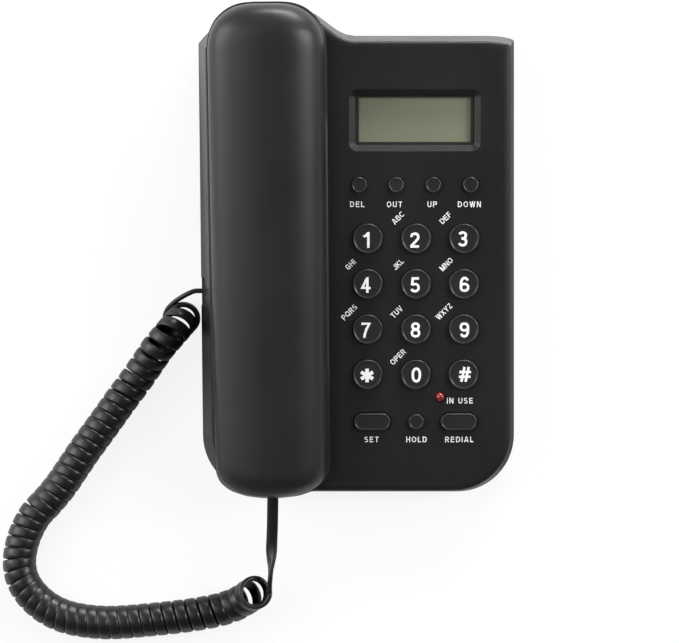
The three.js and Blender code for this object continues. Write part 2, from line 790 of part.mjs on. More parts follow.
const bothBoardScrewCuts = boardScrewPlaces.map(([x, u]) =>
  solid(post(boardScrewRadius + fitGap, -boardTop - cutOverrun, 0, x, u, 8)));
const boardSlab = solid(block(
  boardLeft, boardRight, boardFront, boardBack, -boardTop - boardThickness, -boardTop,
));
addPiece(panelGroup, 'main_board', cutAll(boardSlab, bothBoardScrewCuts), colours.board, satin, 0);

const boardScrewHeadRadius = 2.4;
const boardScrewHeadHeight = 1.4;
boardScrewPlaces.forEach(([x, u], index) => {
  const under = -boardTop - boardThickness - fitGap;
  const screw = turned([
    [0, under - boardScrewHeadHeight], [boardScrewHeadRadius, under - boardScrewHeadHeight],
    [boardScrewHeadRadius, under], [boardScrewRadius, under],
    [boardScrewRadius, -caseWall - 2 * fitGap], [0, -caseWall - 2 * fitGap],
  ], 10);
  addPiece(panelGroup, `board_screw_${index + 1}`, screw.translate(x, u, 0), colours.steel, gloss, 1);
});

const membraneMargin = 7;
function membrane() {
  const left = keyColumnsX[0] - membraneMargin;
  const right = keyColumnsX[2] + membraneMargin;
  const front = bottomKeysU - membraneMargin;
  const back = smallKeysU + membraneMargin / 2;
  const bottom = -membraneTop - membraneThickness;
  const sheet = solid(block(left, right, front, back, bottom, -membraneTop));
  const spots = [...keys, ...pills.map((pill) => ({ x: pill.x, u: bottomKeysU, radius: smallKeyRadius }))];
  const pads = spots.map((spot) =>
    solid(post(spot.radius / 2, -membraneTop - membraneThickness / 2, -padTop, spot.x, spot.u, 6)));
  const lampHole = post(ledRadius + ledFlange + fitGap, bottom - fitGap, 0, ledX, ledU, 12);
  return addAll([sheet, ...pads]).subtract(solid(lampHole));
}
addPiece(panelGroup, 'key_membrane', membrane(), colours.silicone, matt, 0);

const led = turned([
  [0, -boardTop + fitGap], [ledRadius + ledFlange, -boardTop + fitGap],
  [ledRadius + ledFlange, -boardTop + fitGap + ledFlange], [ledRadius, -boardTop + fitGap + ledFlange],
  [ledRadius, 0], [ledRadius * 0.7, ledRise * 0.7], [0, ledRise],
], 12);
addPiece(panelGroup, 'in_use_led', led.translate(ledX, ledU, 0), colours.red, gloss, 0);

const windowPlate = prism(
  roundedRectangle(windowWidth, windowHeight, windowCorner),
  -windowRecess - windowThickness, -windowRecess, 3,
).translate(displayX, displayU, 0);
addPiece(panelGroup, 'display_window', windowPlate, colours.window, gloss, 0);

const glassTop = ledgeUnderside + fitGap;
const holderTop = glassTop + displayGlassThickness + fitGap;
addPiece(panelGroup, 'display_panel', block(
  displayX - displayGlassWidth / 2, displayX + displayGlassWidth / 2,
  displayU - displayGlassHeight / 2, displayU + displayGlassHeight / 2,
  -glassTop - displayGlassThickness, -glassTop,
), colours.glass, gloss, 0);

// The holder is a frame with a shallow lip round the glass
const holderLip = 1.2;
const holderRim = 4;
const holderHalfWidth = displayGlassWidth / 2 + fitGap + holderLip;
const holderHalfHeight = displayGlassHeight / 2 + fitGap + holderLip;
const holderOuter = solid(block(
  displayX - holderHalfWidth, displayX + holderHalfWidth,
  displayU - holderHalfHeight, displayU + holderHalfHeight,
  -boardTop + fitGap, -glassTop,
));
const holderSeat = solid(block(
  displayX - displayGlassWidth / 2 - fitGap, displayX + displayGlassWidth / 2 + fitGap,
  displayU - displayGlassHeight / 2 - fitGap, displayU + displayGlassHeight / 2 + fitGap,
  -holderTop, 0,
));
const holderHole = solid(block(
  displayX - displayGlassWidth / 2 + holderRim, displayX + displayGlassWidth / 2 - holderRim,
  displayU - displayGlassHeight / 2 + holderRim, displayU + displayGlassHeight / 2 - holderRim,
  -boardTop - cutOverrun, 0,
));
addPiece(panelGroup, 'display_holder', holderOuter.subtract(holderSeat).subtract(holderHole),
  colours.white, satin, 0);

// Keys

function roundKey(key) {
  const cap = key.radius;
  const bottom = -keyUnderside;
  const shoulder = -caseWall - fitGap;
  return turned([
    [0, bottom], [cap + keyFlange, bottom], [cap + keyFlange, shoulder], [cap, shoulder],
    [cap, key.rise - keyEdge], [cap - keyEdge, key.rise], [0, key.rise],
  ], key.sides).translate(key.x, key.u, 0);
}

function pillKey(x) {
  const shoulder = -caseWall - fitGap;
  const body = prism(pillShape(0), shoulder - fitGap, smallKeyRise, 4);
  const flange = prism(pillShape(keyFlange), -keyUnderside, shoulder, 4);
  return solid(body).add(solid(flange)).translate([x, bottomKeysU, 0]);
}

for (const key of keys) {
  addPiece(panelGroup, key.name, roundKey(key), colours.key, satin, 0);
}
for (const pill of pills) {
  addPiece(panelGroup, pill.name, pillKey(pill.x), colours.key, satin, 0);
}

// Hook plunger, its spring and its switch

const plungerTop = gripDepth - handsetSeamHeight + fitGap;
const flangeTop = trayUnderside + fitGap + hookTravel;
const flangeBottom = flangeTop + hookFlangeHeight;
const switchTop = hookTubeDepth + fitGap;
const stemEnd = switchTop - 2 * fitGap;
const plunger = turned([
  [0, -stemEnd], [hookStemRadius, -stemEnd], [hookStemRadius, -flangeBottom],
  [hookFlangeRadius, -flangeBottom], [hookFlangeRadius, -flangeTop], [hookHeadRadius, -flangeTop],
  [hookHeadRadius, -plungerTop - keyEdge], [hookHeadRadius - keyEdge, -plungerTop], [0, -plungerTop],
], 16);
plunger.translate(hookCentre.x, hookCentre.y, 0);
addPiece(panelGroup, 'hook_plunger', plunger, colours.key, satin, 0);

const springWire = 0.5;
const springRadius = 3.4;
const springTurns = 6;
const springSteps = 8;
const springSides = 5;
function hookSpring() {
  const bottom = -switchTop + fitGap + springWire;
  const top = -flangeBottom - fitGap - springWire;
  const count = springTurns * springSteps;
  const rings = [];
  for (let step = 0; step <= count; step += 1) {
    const angle = step / springSteps * 2 * Math.PI;
    const centre = new THREE.Vector3(
      hookCentre.x + springRadius * Math.cos(angle),
      hookCentre.y + springRadius * Math.sin(angle),
      bottom + (top - bottom) * step / count,
    );
    const outward = new THREE.Vector3(Math.cos(angle), Math.sin(angle), 0);
    const up = new THREE.Vector3(0, 0, 1);
    rings.push(sectionRing(centre, outward, up, springWire, springWire, springSides));
  }
  return tubeFrom(rings);
}

// One ring of a tube's section, and the closed tube through such rings
function sectionRing(centre, first, second, firstHalf, secondHalf, sides) {
  const ring = [];
  for (let side = 0; side < sides; side += 1) {
    const angle = side / sides * 2 * Math.PI;
    ring.push(centre.clone()
      .addScaledVector(first, firstHalf * Math.cos(angle))
      .addScaledVector(second, secondHalf * Math.sin(angle)));
  }
  return ring;
}

function tubeFrom(rings) {
  const sides = rings[0].length;
  const positions = rings.flat().flatMap((p) => [p.x, p.y, p.z]);
  const faces = [];
  for (let ring = 0; ring + 1 < rings.length; ring += 1) {
    for (let side = 0; side < sides; side += 1) {
      const a = ring * sides + side;
      const b = ring * sides + (side + 1) % sides;
      faces.push(a, b + sides, b, a, a + sides, b + sides);
    }
  }
  const last = (rings.length - 1) * sides;
  for (let side = 1; side + 1 < sides; side += 1) {
    faces.push(0, side, side + 1);
    faces.push(last, last + side + 1, last + side);
  }
  const geometry = new THREE.BufferGeometry();
  geometry.setAttribute('position', new THREE.Float32BufferAttribute(positions, 3));
  geometry.setIndex(faces);
  return geometry;
}

addPiece(panelGroup, 'hook_spring', hookSpring(), colours.steel, gloss, 1);

addPiece(panelGroup, 'hook_switch', block(
  hookCentre.x - hookSwitchWidth / 2, hookCentre.x + hookSwitchWidth / 2,
  hookCentre.y - hookSwitchLength / 2, hookCentre.y + hookSwitchLength / 2,
  -switchTop - hookSwitchHeight, -switchTop,
), colours.jack, satin, 0);

// Handset, in its own frame: Y along it towards the ear end, Z up from its seam

const receiverRadius = 12;
const receiverHeight = 8;
const microphoneRadius = 4.8;
const microphoneHeight = 5;
const bootWall = 1.6;
const earMiddle = handsetLength / 2 - (earRounding + cupLength) / 2;
const mouthMiddle = -handsetLength / 2 + (mouthRounding + cupLength) / 2;
const cupInnerFloor = -cupDepth + handsetWall;
const gripInnerFloor = -gripDepth + handsetWall;
const grilleHoleRadius = 1.3;
const grilleCircle = 7;
const grilleCount = 6;
const microphoneSlots = 3;
const microphoneSlotPitch = 4;
const weightSize = [14, 34, 7];
const weightGap = 3.6;
const handsetScrewHeadRadius = 2.4;
const handsetScrewHeadHeight = 1.6;
const handsetScrewRadius = 1.3;
const handsetScrewReach = 9;
const handsetBossRadius = 3.4;
const handsetScrewDistance = weightSize[1] / 2 + weightGap + handsetBossRadius;
const handsetScrewPlaces = [handsetScrewDistance, -handsetScrewDistance];
const handsetJackDrop = 3.7;
const handsetJackInset = 8.6;
const jackRibLength = 9;

const handsetSlack = 2 * cutOverrun;
function halfSpace(z0, z1) {
  const width = handsetBackWidth / 2 + handsetSlack;
  const half = handsetLength / 2 + handsetSlack;
  return solid(block(-width, width, -half, half, z0, z1));
}

const innerForm = solid(handsetForm(handsetWall + shellRim));
const faceInnerForm = solid(handsetForm(handsetWall));

function handsetShell() {
  const above = halfSpace(fitGap / 2, crownHeight + cutOverrun);
  const skin = solid(handsetForm(shellRim)).intersect(above).subtract(innerForm);
  const bossBottom = gripInnerFloor + handsetWall;
  const bossTop = crownHeight - handsetWall - shellRim / 2;
  const bosses = handsetScrewPlaces.map((y) =>
    solid(post(handsetBossRadius, bossBottom, bossTop, 0, y, 12)));
  const bores = handsetScrewPlaces.map((y) =>
    solid(post(handsetScrewRadius + fitGap, gripInnerFloor, handsetScrewTop() + fitGap, 0, y, 8)));
  return cutAll(addAll([skin, ...bosses]), bores);
}

function handsetScrewSeat() {
  return -gripDepth + fitGap + handsetScrewHeadHeight;
}

function handsetScrewTop() {
  return handsetScrewSeat() + handsetScrewReach;
}

function handsetFace() {
  const below = halfSpace(-cupDepth - cutOverrun, -fitGap / 2);
  const skin = solid(handsetForm(0)).intersect(below).subtract(faceInnerForm);
  const padBottom = -gripDepth + handsetWall / 2;
  const padTopInside = gripInnerFloor + handsetWall - fitGap;
  const pads = handsetScrewPlaces.map((y) =>
    solid(post(handsetBossRadius, padBottom, padTopInside, 0, y, 12)));
  const inShell = solid(handsetForm(handsetWall / 2));
  const ribs = [-1, 1].map((side) => {
    const x = side * (handsetJackSize[0] / 2 - jackRibWidth);
    const front = -handsetLength / 2 + handsetJackInset + fitGap + jackRibWidth * 2;
    return solid(block(x - jackRibWidth / 2, x + jackRibWidth / 2, front, front + jackRibLength,
      -cupDepth, -handsetJackDrop - handsetJackSize[2] / 2 - fitGap)).intersect(inShell);
  });
  const cuts = [
    ...handsetScrewPlaces.flatMap((y) => [
      post(handsetScrewHeadRadius + fitGap, -gripDepth - cutOverrun, handsetScrewSeat() + fitGap, 0, y, 10),
      post(handsetScrewRadius + fitGap, -gripDepth - cutOverrun, 0, 0, y, 8),
    ]),
    ...Array.from({ length: grilleCount }, (_, index) => {
      const angle = index / grilleCount * 2 * Math.PI;
      return post(grilleHoleRadius, -cupDepth - cutOverrun, cupInnerFloor + fitGap,
        grilleCircle * Math.cos(angle), earMiddle + grilleCircle * Math.sin(angle), 8);
    }),
    ...Array.from({ length: microphoneSlots }, (_, index) => {
      const x = (index - (microphoneSlots - 1) / 2) * microphoneSlotPitch;
      return block(x - grilleHoleRadius / 2, x + grilleHoleRadius / 2,
        mouthMiddle - microphoneSlotPitch, mouthMiddle + microphoneSlotPitch,
        -cupDepth - cutOverrun, cupInnerFloor + fitGap);
    }),
    block(-handsetJackOpening[0] / 2, handsetJackOpening[0] / 2,
      -handsetLength / 2 - cutOverrun, -handsetLength / 2 + handsetJackInset + fitGap,
      -handsetJackDrop - handsetJackOpening[2] / 2, -handsetJackDrop + handsetJackOpening[2] / 2),
  ].map(solid);
  return cutAll(addAll([skin, ...pads, ...ribs]), cuts);
}

addPiece(handsetGroup, 'handset_shell', handsetShell(), colours.handset, satin, 0);
addPiece(handsetGroup, 'handset_face', handsetFace(), colours.handset, satin, 0);

const receiver = turned([
  [0, 0], [receiverRadius, 0], [receiverRadius, receiverHeight / 2],
  [receiverRadius * 0.7, receiverHeight], [0, receiverHeight],
], 20);
receiver.translate(0, earMiddle, cupInnerFloor + fitGap);
addPiece(handsetGroup, 'receiver', receiver, colours.steel, satin, 1);

const microphone = post(
  microphoneRadius, cupInnerFloor + fitGap + bootWall, cupInnerFloor + fitGap + bootWall + microphoneHeight,
  0, mouthMiddle, 14,
);
addPiece(handsetGroup, 'microphone', microphone, colours.steel, satin, 1);

// The boot is a ring with a ledge under the capsule, open above and below
const bootInner = microphoneRadius + fitGap;
const boot = turned([
  [microphoneRadius / 2, 0], [bootInner + bootWall, 0], [bootInner + bootWall, microphoneHeight],
  [bootInner, microphoneHeight], [bootInner, bootWall - fitGap], [microphoneRadius / 2, bootWall - fitGap],
  [microphoneRadius / 2, 0],
], 14);
boot.translate(0, mouthMiddle, cupInnerFloor + fitGap);
addPiece(handsetGroup, 'microphone_boot', boot, colours.rubber, matt, 0);

addPiece(handsetGroup, 'handset_weight', block(
  -weightSize[0] / 2, weightSize[0] / 2, -weightSize[1] / 2, weightSize[1] / 2,
  gripInnerFloor + fitGap, gripInnerFloor + fitGap + weightSize[2],
), colours.steel, satin, 1);

handsetScrewPlaces.forEach((y, index) => {
  const seat = handsetScrewSeat();
  const screw = turned([
    [0, seat - handsetScrewHeadHeight], [handsetScrewHeadRadius, seat - handsetScrewHeadHeight],
    [handsetScrewHeadRadius, seat], [handsetScrewRadius, seat],
    [handsetScrewRadius, handsetScrewTop()], [0, handsetScrewTop()],
  ], 10);
  addPiece(handsetGroup, `handset_screw_${index + 1}`, screw.translate(0, y, 0), colours.steel, gloss, 1);
});

const handsetJackMatrix = new THREE.Matrix4().makeRotationZ(Math.PI)
  .setPosition(0, -handsetLength / 2 + handsetJackInset + fitGap, -handsetJackDrop);
const handsetJackMesh = addPiece(
  handsetGroup, 'handset_jack', jack(handsetJackSize, handsetJackOpening), colours.jack, satin, 0,
);
handsetJackMesh.applyMatrix4(handsetJackMatrix);

// Cord

const leadDiameter = 3.2;
const leadSides = 8;
const coilRadius = 6.1;
const coilSectionAcross = 2;
const coilSectionAlong = 2.6;
const coilSides = 5;
const coilSteps = 8;

// Plugs, with the mouth end of the socket at y 0
function plug() {
  const [across, along, high] = plugSize;
  const body = solid(block(-across / 2, across / 2, -along, 0, -high / 2, high / 2));
  const noseShare = 0.3;
  const step = solid(block(-across, across, -along - cutOverrun, -along * (1 - noseShare),
    high * (1 / 2 - noseShare), high));
  return body.subtract(step);
}

// The cord's route. The coil's middle line starts at a ring that lies on the table beside
// the base, arches over the lead, lies along the table and rises to the handset's lead.
const coilRoute = [
  [-73.9, -27.3, 3.9], [-74.4, -28, 7.8], [-76.3, -30.4, 11], [-79, -33.7, 13.2],
  [-81.4, -36.5, 13.4], [-84.5, -40.1, 12], [-87.7, -44.6, 9.7], [-91, -49.3, 8.1],
  [-94.6, -54.4, 7.5], [-100.3, -62, 7.4], [-106, -70, 7.4], [-111.4, -77.4, 7.4],
  [-116.4, -84.3, 7.4], [-121.3, -91.6, 7.4], [-126.3, -98.9, 7.4], [-131.7, -105.4, 7.4],
  [-136.7, -110.8, 7.4], [-140.3, -117.1, 7.4], [-142.7, -123.9, 7.4], [-143.7, -131, 7.4],
  [-142.7, -137.5, 7.4], [-139.9, -143, 7.4], [-135.8, -147.6, 7.4], [-130.5, -151.5, 7.4],
  [-123.9, -154.4, 7.4], [-116.2, -156.1, 7.4], [-107.3, -156.9, 7.4], [-98.4, -156.6, 7.4],
  [-89.4, -155.8, 7.4], [-80.3, -154.9, 7.4], [-70.7, -153.7, 7.4], [-62, -152.2, 7.4],
  [-56, -150.7, 7.5], [-50.8, -148.6, 8.6], [-46.2, -145.6, 11.6], [-43.6, -143.6, 15.8],
  [-43, -143.1, 20.5],
];
const baseLeadRoute = [
  [-71.2, -16.9, 8.6], [-74.4, -18.5, 7.7],
  [-77.7, -20.6, 6.2], [-80.4, -23.1, 4.4], [-81.8, -26, 2.8], [-81.8, -29, 1.9],
  [-80.2, -31.6, 1.9],
];
const handsetLeadRoute = [
  [-36.6, -136, 21.6], [-36.3, -130.2, 21.5], [-36.1, -124.4, 21.8],
  [-35.9, -118.9, 22.4], [-35.7, -113.6, 23.2],
];

const curlPitchMiddle = 4.95;
const curlPitchStart = 9;
const curlPitchEnd = 8;
const endCurlLength = 30;

const toVector = ([x, y, z]) => new THREE.Vector3(x, y, z);
const coilLine = new THREE.CatmullRomCurve3(coilRoute.map(toVector), false, 'centripetal');

// Middle line, direction and a side vector that never twists, at even steps along the line
function transportedFrames(curve, count) {
  const frames = [];
  let side = null;
  for (let index = 0; index <= count; index += 1) {
    const point = curve.getPointAt(index / count);
    const along = curve.getTangentAt(index / count);
    if (!side) side = new THREE.Vector3(1, 0, 0);
    side = side.clone().addScaledVector(along, -side.dot(along)).normalize();
    frames.push({ point, along, side, other: along.clone().cross(side) });
  }
  return frames;
}

// Curls stand wider apart where the coil bends up at its two ends
function curlPitch(distance, length) {
  const widen = (fromEnd, pitch) => {
    const share = Math.min(1, Math.max(0, fromEnd / endCurlLength));
    const ease = (1 + Math.cos(Math.PI * share ** 2)) / 2;
    return (pitch - curlPitchMiddle) * ease;
  };
  const start = widen(distance, curlPitchStart);
  return curlPitchMiddle + start + widen(length - distance, curlPitchEnd);
}

function curlyCord() {
  const length = coilLine.getLength();
  const fine = 4000;
  const frames = transportedFrames(coilLine, fine);
  const startAngle = -Math.PI / 2;
  const angles = [startAngle];
  for (let index = 1; index <= fine; index += 1) {
    const distance = (index - 0.5) / fine * length;
    angles.push(angles[index - 1] + 2 * Math.PI * length / fine / curlPitch(distance, length));
  }
  // The coil ends on its +X side, where the handset's lead goes on
  const endAngle = Math.atan2(frames[fine].other.x, frames[fine].side.x);
  const wholeCurls = Math.round((angles[fine] - endAngle) / (2 * Math.PI));
  const stretch = (endAngle + 2 * Math.PI * wholeCurls - startAngle) / (angles[fine] - startAngle);
  const curls = (angles[fine] - startAngle) * stretch / (2 * Math.PI);
  const stepCount = Math.round(curls * coilSteps);
  const rings = [];
  const centres = [];
  const headings = [];
  let index = 0;
  for (let step = 0; step <= stepCount; step += 1) {
    const plain = startAngle + step / stepCount * (angles[fine] - startAngle);
    while (index < fine && angles[index] < plain) index += 1;
    const angle = startAngle + (plain - startAngle) * stretch;
    const frame = frames[index];
    const outward = frame.side.clone().multiplyScalar(Math.cos(angle))
      .addScaledVector(frame.other, Math.sin(angle));
    const centre = frame.point.clone().addScaledVector(outward, coilRadius);
    centres.push(centre);
    const climb = length / curls / (2 * Math.PI);
    headings.push(frame.along.clone().cross(outward).multiplyScalar(coilRadius)
      .addScaledVector(frame.along, climb).normalize());
    rings.push(sectionRing(centre, outward, frame.along,
      coilSectionAcross / 2, coilSectionAlong / 2, coilSides));
  }
  return { rings, centres, headings, curls };
}

const curly = curlyCord();

// Least gap of the coil to itself: distance between points on the skin of stretches that
// are between half a curl and three curls apart
function leastGap(rings) {
  const between = 3;
  const points = [];
  for (let ring = 0; ring + 1 < rings.length; ring += 1) {
    for (let side = 0; side < coilSides; side += 1) {
      for (let part = 0; part < between; part += 1) {
        const p = rings[ring][side].clone().lerp(rings[ring + 1][side], part / between);
        points.push({ p, at: ring + part / between });
      }
    }
  }
  let least = { gap: Infinity, at: 0 };
  points.forEach((one, index) => {
    for (let other = index + 1; other < points.length; other += 1) {
      const apart = points[other].at - one.at;
      if (apart > 3 * coilSteps) break;
      const gap = one.p.distanceTo(points[other].p);
      if (apart > coilSteps / 2 && gap < least.gap) least = { gap, at: one.at / coilSteps };
    }
  });
  return least;
}

const cord = new THREE.Group();
phone.add(cord);
addPiece(cord, 'curly_cord', tubeFrom(curly.rings), colours.cord, satin, 0);

// A lead runs straight for one diameter at both ends
function straightEnd(point, towards) {
  return [point, point.clone().addScaledVector(towards, leadDiameter)];
}

function lead(points) {
  const curve = new THREE.CatmullRomCurve3(points, false, 'centripetal');
  const shape = new THREE.Shape(sectionRing(
    new THREE.Vector3(), new THREE.Vector3(1, 0, 0), new THREE.Vector3(0, 1, 0),
    leadDiameter / 2, leadDiameter / 2, leadSides,
  ).map((p) => new THREE.Vector2(p.x, p.y)));
  const steps = 2 * points.length;
  return new THREE.ExtrudeGeometry(shape, { steps, bevelEnabled: false, extrudePath: curve });
}

function plugFace(matrix) {
  return new THREE.Vector3(0, fitGap, 0).applyMatrix4(matrix);
}

const outOfBase = new THREE.Vector3(-1, 0, 0);
const intoCoil = curly.headings[0];
const coilStart = curly.centres[0].clone().addScaledVector(intoCoil, -fitGap);
const outOfCoil = curly.headings.at(-1);
const coilEnd = curly.centres.at(-1).clone().addScaledVector(outOfCoil, fitGap);
const handsetPlugMatrix = handsetGroup.matrixWorld.clone().multiply(handsetJackMatrix);
const handsetPlugFace = plugFace(handsetPlugMatrix);
const outOfHandset = new THREE.Vector3(0, 1, 0).transformDirection(handsetPlugMatrix);
const baseLeadPoints = [
  ...straightEnd(plugFace(baseJackMatrix()), outOfBase),
  ...baseLeadRoute.map(toVector),
  ...straightEnd(coilStart, intoCoil.clone().negate()).reverse(),
];
const handsetLeadPoints = [
  ...straightEnd(coilEnd, outOfCoil),
  ...handsetLeadRoute.map(toVector),
  ...straightEnd(handsetPlugFace, outOfHandset).reverse(),
];

addPiece(cord, 'base_lead', lead(baseLeadPoints), colours.cord, satin, 0);
addPiece(cord, 'handset_lead', lead(handsetLeadPoints), colours.cord, satin, 0);

const basePlugMesh = addPiece(cord, 'base_plug', plug(), colours.plug, gloss, 0);
basePlugMesh.applyMatrix4(baseJackMatrix());
const handsetPlugMesh = addPiece(handsetGroup, 'handset_plug', plug(), colours.plug, gloss, 0);
handsetPlugMesh.applyMatrix4(handsetJackMatrix);

const gap = leastGap(curly.rings);
console.log(`curls ${curly.curls.toFixed(2)}, least gap ${gap.gap.toFixed(2)} mm at ${gap.at.toFixed(1)}`);
for (const p of [...baseLeadPoints, ...handsetLeadPoints]) {
  console.log(p.toArray().map((v) => v.toFixed(2)).join(' '));
}

export default phone;
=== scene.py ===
"""Looks of the corded desk telephone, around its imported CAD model.

Metres, in the CAD's frame: +X from the handset to the keys, +Y to the back, +Z up.
"""

import json
import math

import bmesh
import bpy
from mathutils import Matrix, Vector

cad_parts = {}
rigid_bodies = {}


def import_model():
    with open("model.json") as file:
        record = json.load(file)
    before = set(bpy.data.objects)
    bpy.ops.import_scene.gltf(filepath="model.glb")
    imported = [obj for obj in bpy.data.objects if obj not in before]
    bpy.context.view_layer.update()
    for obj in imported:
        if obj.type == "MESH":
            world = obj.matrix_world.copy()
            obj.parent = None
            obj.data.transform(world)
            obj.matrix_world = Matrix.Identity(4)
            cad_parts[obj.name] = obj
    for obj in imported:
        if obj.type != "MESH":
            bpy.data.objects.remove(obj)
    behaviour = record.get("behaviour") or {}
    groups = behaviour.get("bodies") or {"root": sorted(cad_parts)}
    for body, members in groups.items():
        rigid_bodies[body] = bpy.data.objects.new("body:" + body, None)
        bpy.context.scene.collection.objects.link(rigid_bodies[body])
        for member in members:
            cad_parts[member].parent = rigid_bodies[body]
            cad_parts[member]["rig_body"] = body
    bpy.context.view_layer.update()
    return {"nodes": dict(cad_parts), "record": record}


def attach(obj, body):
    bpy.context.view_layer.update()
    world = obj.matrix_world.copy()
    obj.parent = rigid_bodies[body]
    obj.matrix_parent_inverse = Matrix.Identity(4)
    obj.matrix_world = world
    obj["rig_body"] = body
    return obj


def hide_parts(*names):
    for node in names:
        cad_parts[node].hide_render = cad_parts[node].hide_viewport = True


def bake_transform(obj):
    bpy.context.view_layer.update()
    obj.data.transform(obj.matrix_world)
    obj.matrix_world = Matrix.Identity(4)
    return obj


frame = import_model()
nodes = frame["nodes"]
mm = 0.001


# The photograph was taken from straight above, 1.4 m over the table, with a long lens.
# The telephone lies square in it, its front edge at the bottom.

SENSOR_WIDTH = 36.0
LENS = 173.5
CAMERA_HEIGHT = 1400 * mm
CAMERA_PLACE = (-7.5 * mm, -28.8 * mm)
FARTHEST_VIEW = 20

camera_data = bpy.data.cameras.new("camera")
camera_data.lens = LENS
camera_data.sensor_width = SENSOR_WIDTH
camera_data.clip_end = FARTHEST_VIEW
camera = bpy.data.objects.new("camera", camera_data)
camera.location = (*CAMERA_PLACE, CAMERA_HEIGHT)
bpy.context.scene.collection.objects.link(camera)
bpy.context.scene.camera = camera
bpy.context.scene.view_settings.view_transform = "Standard"


# The curly cord: a flat four-core cord in black vinyl, wound into a right-handed curl.
# It leaves the left wall, lies beside the base in a J and rises to the handset's mouth end.
# One ribbon follows the lead, the curl and the second lead without a join.

CORD_WIDTH = 4.8 * mm
CORD_THICKNESS = 2.1 * mm
CURL_RADIUS = 6.1 * mm
CURL_START = -math.pi / 2
CURL_STEPS = 40
AXIS_STEPS = 60
LEAD_STEPS = 8
TWIST_START = 0.22
TWIST_LENGTH = 0.36
TINY = 1e-9
RIBBON_SIDES = 12
RIBBON_POWER = 0.55
CURL_LINE = [
    (-73.9, -27.3, 3.9), (-74.4, -28, 7.8), (-76.3, -30.4, 11), (-79, -33.7, 13.2),
    (-81.4, -36.5, 13.4), (-84.5, -40.1, 12), (-87.7, -44.6, 9.7), (-91, -49.3, 8.1),
    (-94.6, -54.4, 7.5), (-100.3, -62, 7.4), (-106, -70, 7.4), (-111.4, -77.4, 7.4),
    (-116.4, -84.3, 7.4), (-121.3, -91.6, 7.4), (-126.3, -98.9, 7.4), (-131.7, -105.4, 7.4),
    (-136.7, -110.8, 7.4), (-140.3, -117.1, 7.4), (-142.7, -123.9, 7.4), (-143.7, -131, 7.4),
    (-142.7, -137.5, 7.4), (-139.9, -143, 7.4), (-135.8, -147.6, 7.4), (-130.5, -151.5, 7.4),
    (-123.9, -154.4, 7.4), (-116.2, -156.1, 7.4), (-107.3, -156.9, 7.4), (-98.4, -156.6, 7.4),
    (-89.4, -155.8, 7.4), (-80.3, -154.9, 7.4), (-70.7, -153.7, 7.4), (-62, -152.2, 7.4),
    (-56, -150.7, 7.5), (-50.8, -148.6, 8.6), (-46.2, -145.6, 11.6), (-43.6, -143.6, 15.8),
    (-43, -143.1, 20.5),
]
BASE_LEAD_LINE = [
    (-65.5, -15.8, 8.9), (-68.7, -15.8, 8.9), (-71.3, -16.7, 8.7), (-74.4, -18.3, 7.9),
    (-77.7, -20.5, 6.5), (-80.4, -23.1, 4.8), (-81.8, -26, 3.3), (-81.8, -29, 2.5),
    (-80.2, -31.6, 2.5), (-77.3, -33.1, 2.7),
]
HANDSET_LEAD_LINE = [
    (-36.9, -139.9, 20.6), (-36.6, -136, 21.6), (-36.3, -130.2, 21.5), (-36.1, -124.4, 21.8),
    (-35.9, -118.9, 22.4), (-35.7, -113.6, 23.2), (-35.4, -96.8, 26.3), (-35.4, -93.7, 26.8),
]

# The distance along the curl's middle and the pitch of its turns there, in millimetres
CURL_PITCHES = [(0, 4.6), (14, 4.9), (24, 5.8), (40, 5.6), (55, 4.7), (110, 4.5), (150, 4.3),
                (185, 4.5), (215, 5.2), (245, 5.6), (400, 5.6)]


def smooth_line(points, steps):
    """Points on a smooth curve through the given ones (a uniform Catmull-Rom spline)."""
    ends = [2 * points[0] - points[1], *points, 2 * points[-1] - points[-2]]
    line = []
    for a, b, c, d in zip(ends, ends[1:], ends[2:], ends[3:]):
        for step in range(steps):
            t = step / steps
            line.append(0.5 * (2 * b + (c - a) * t + (2 * a - 5 * b + 4 * c - d) * t * t
                               + (3 * b - a - 3 * c + d) * t ** 3))
    line.append(points[-1].copy())
    return line


def real_points(rows):
    return [Vector(row) * mm for row in rows]


def eased(share):
    """A share from 0 to 1 that sets off and arrives gently."""
    return 3 * share ** 2 - 2 * share ** 3


def signed_power(value, power):
    """A power that keeps the sign, which makes a circle's sines and cosines squarer."""
    return math.copysign(abs(value) ** power, value)


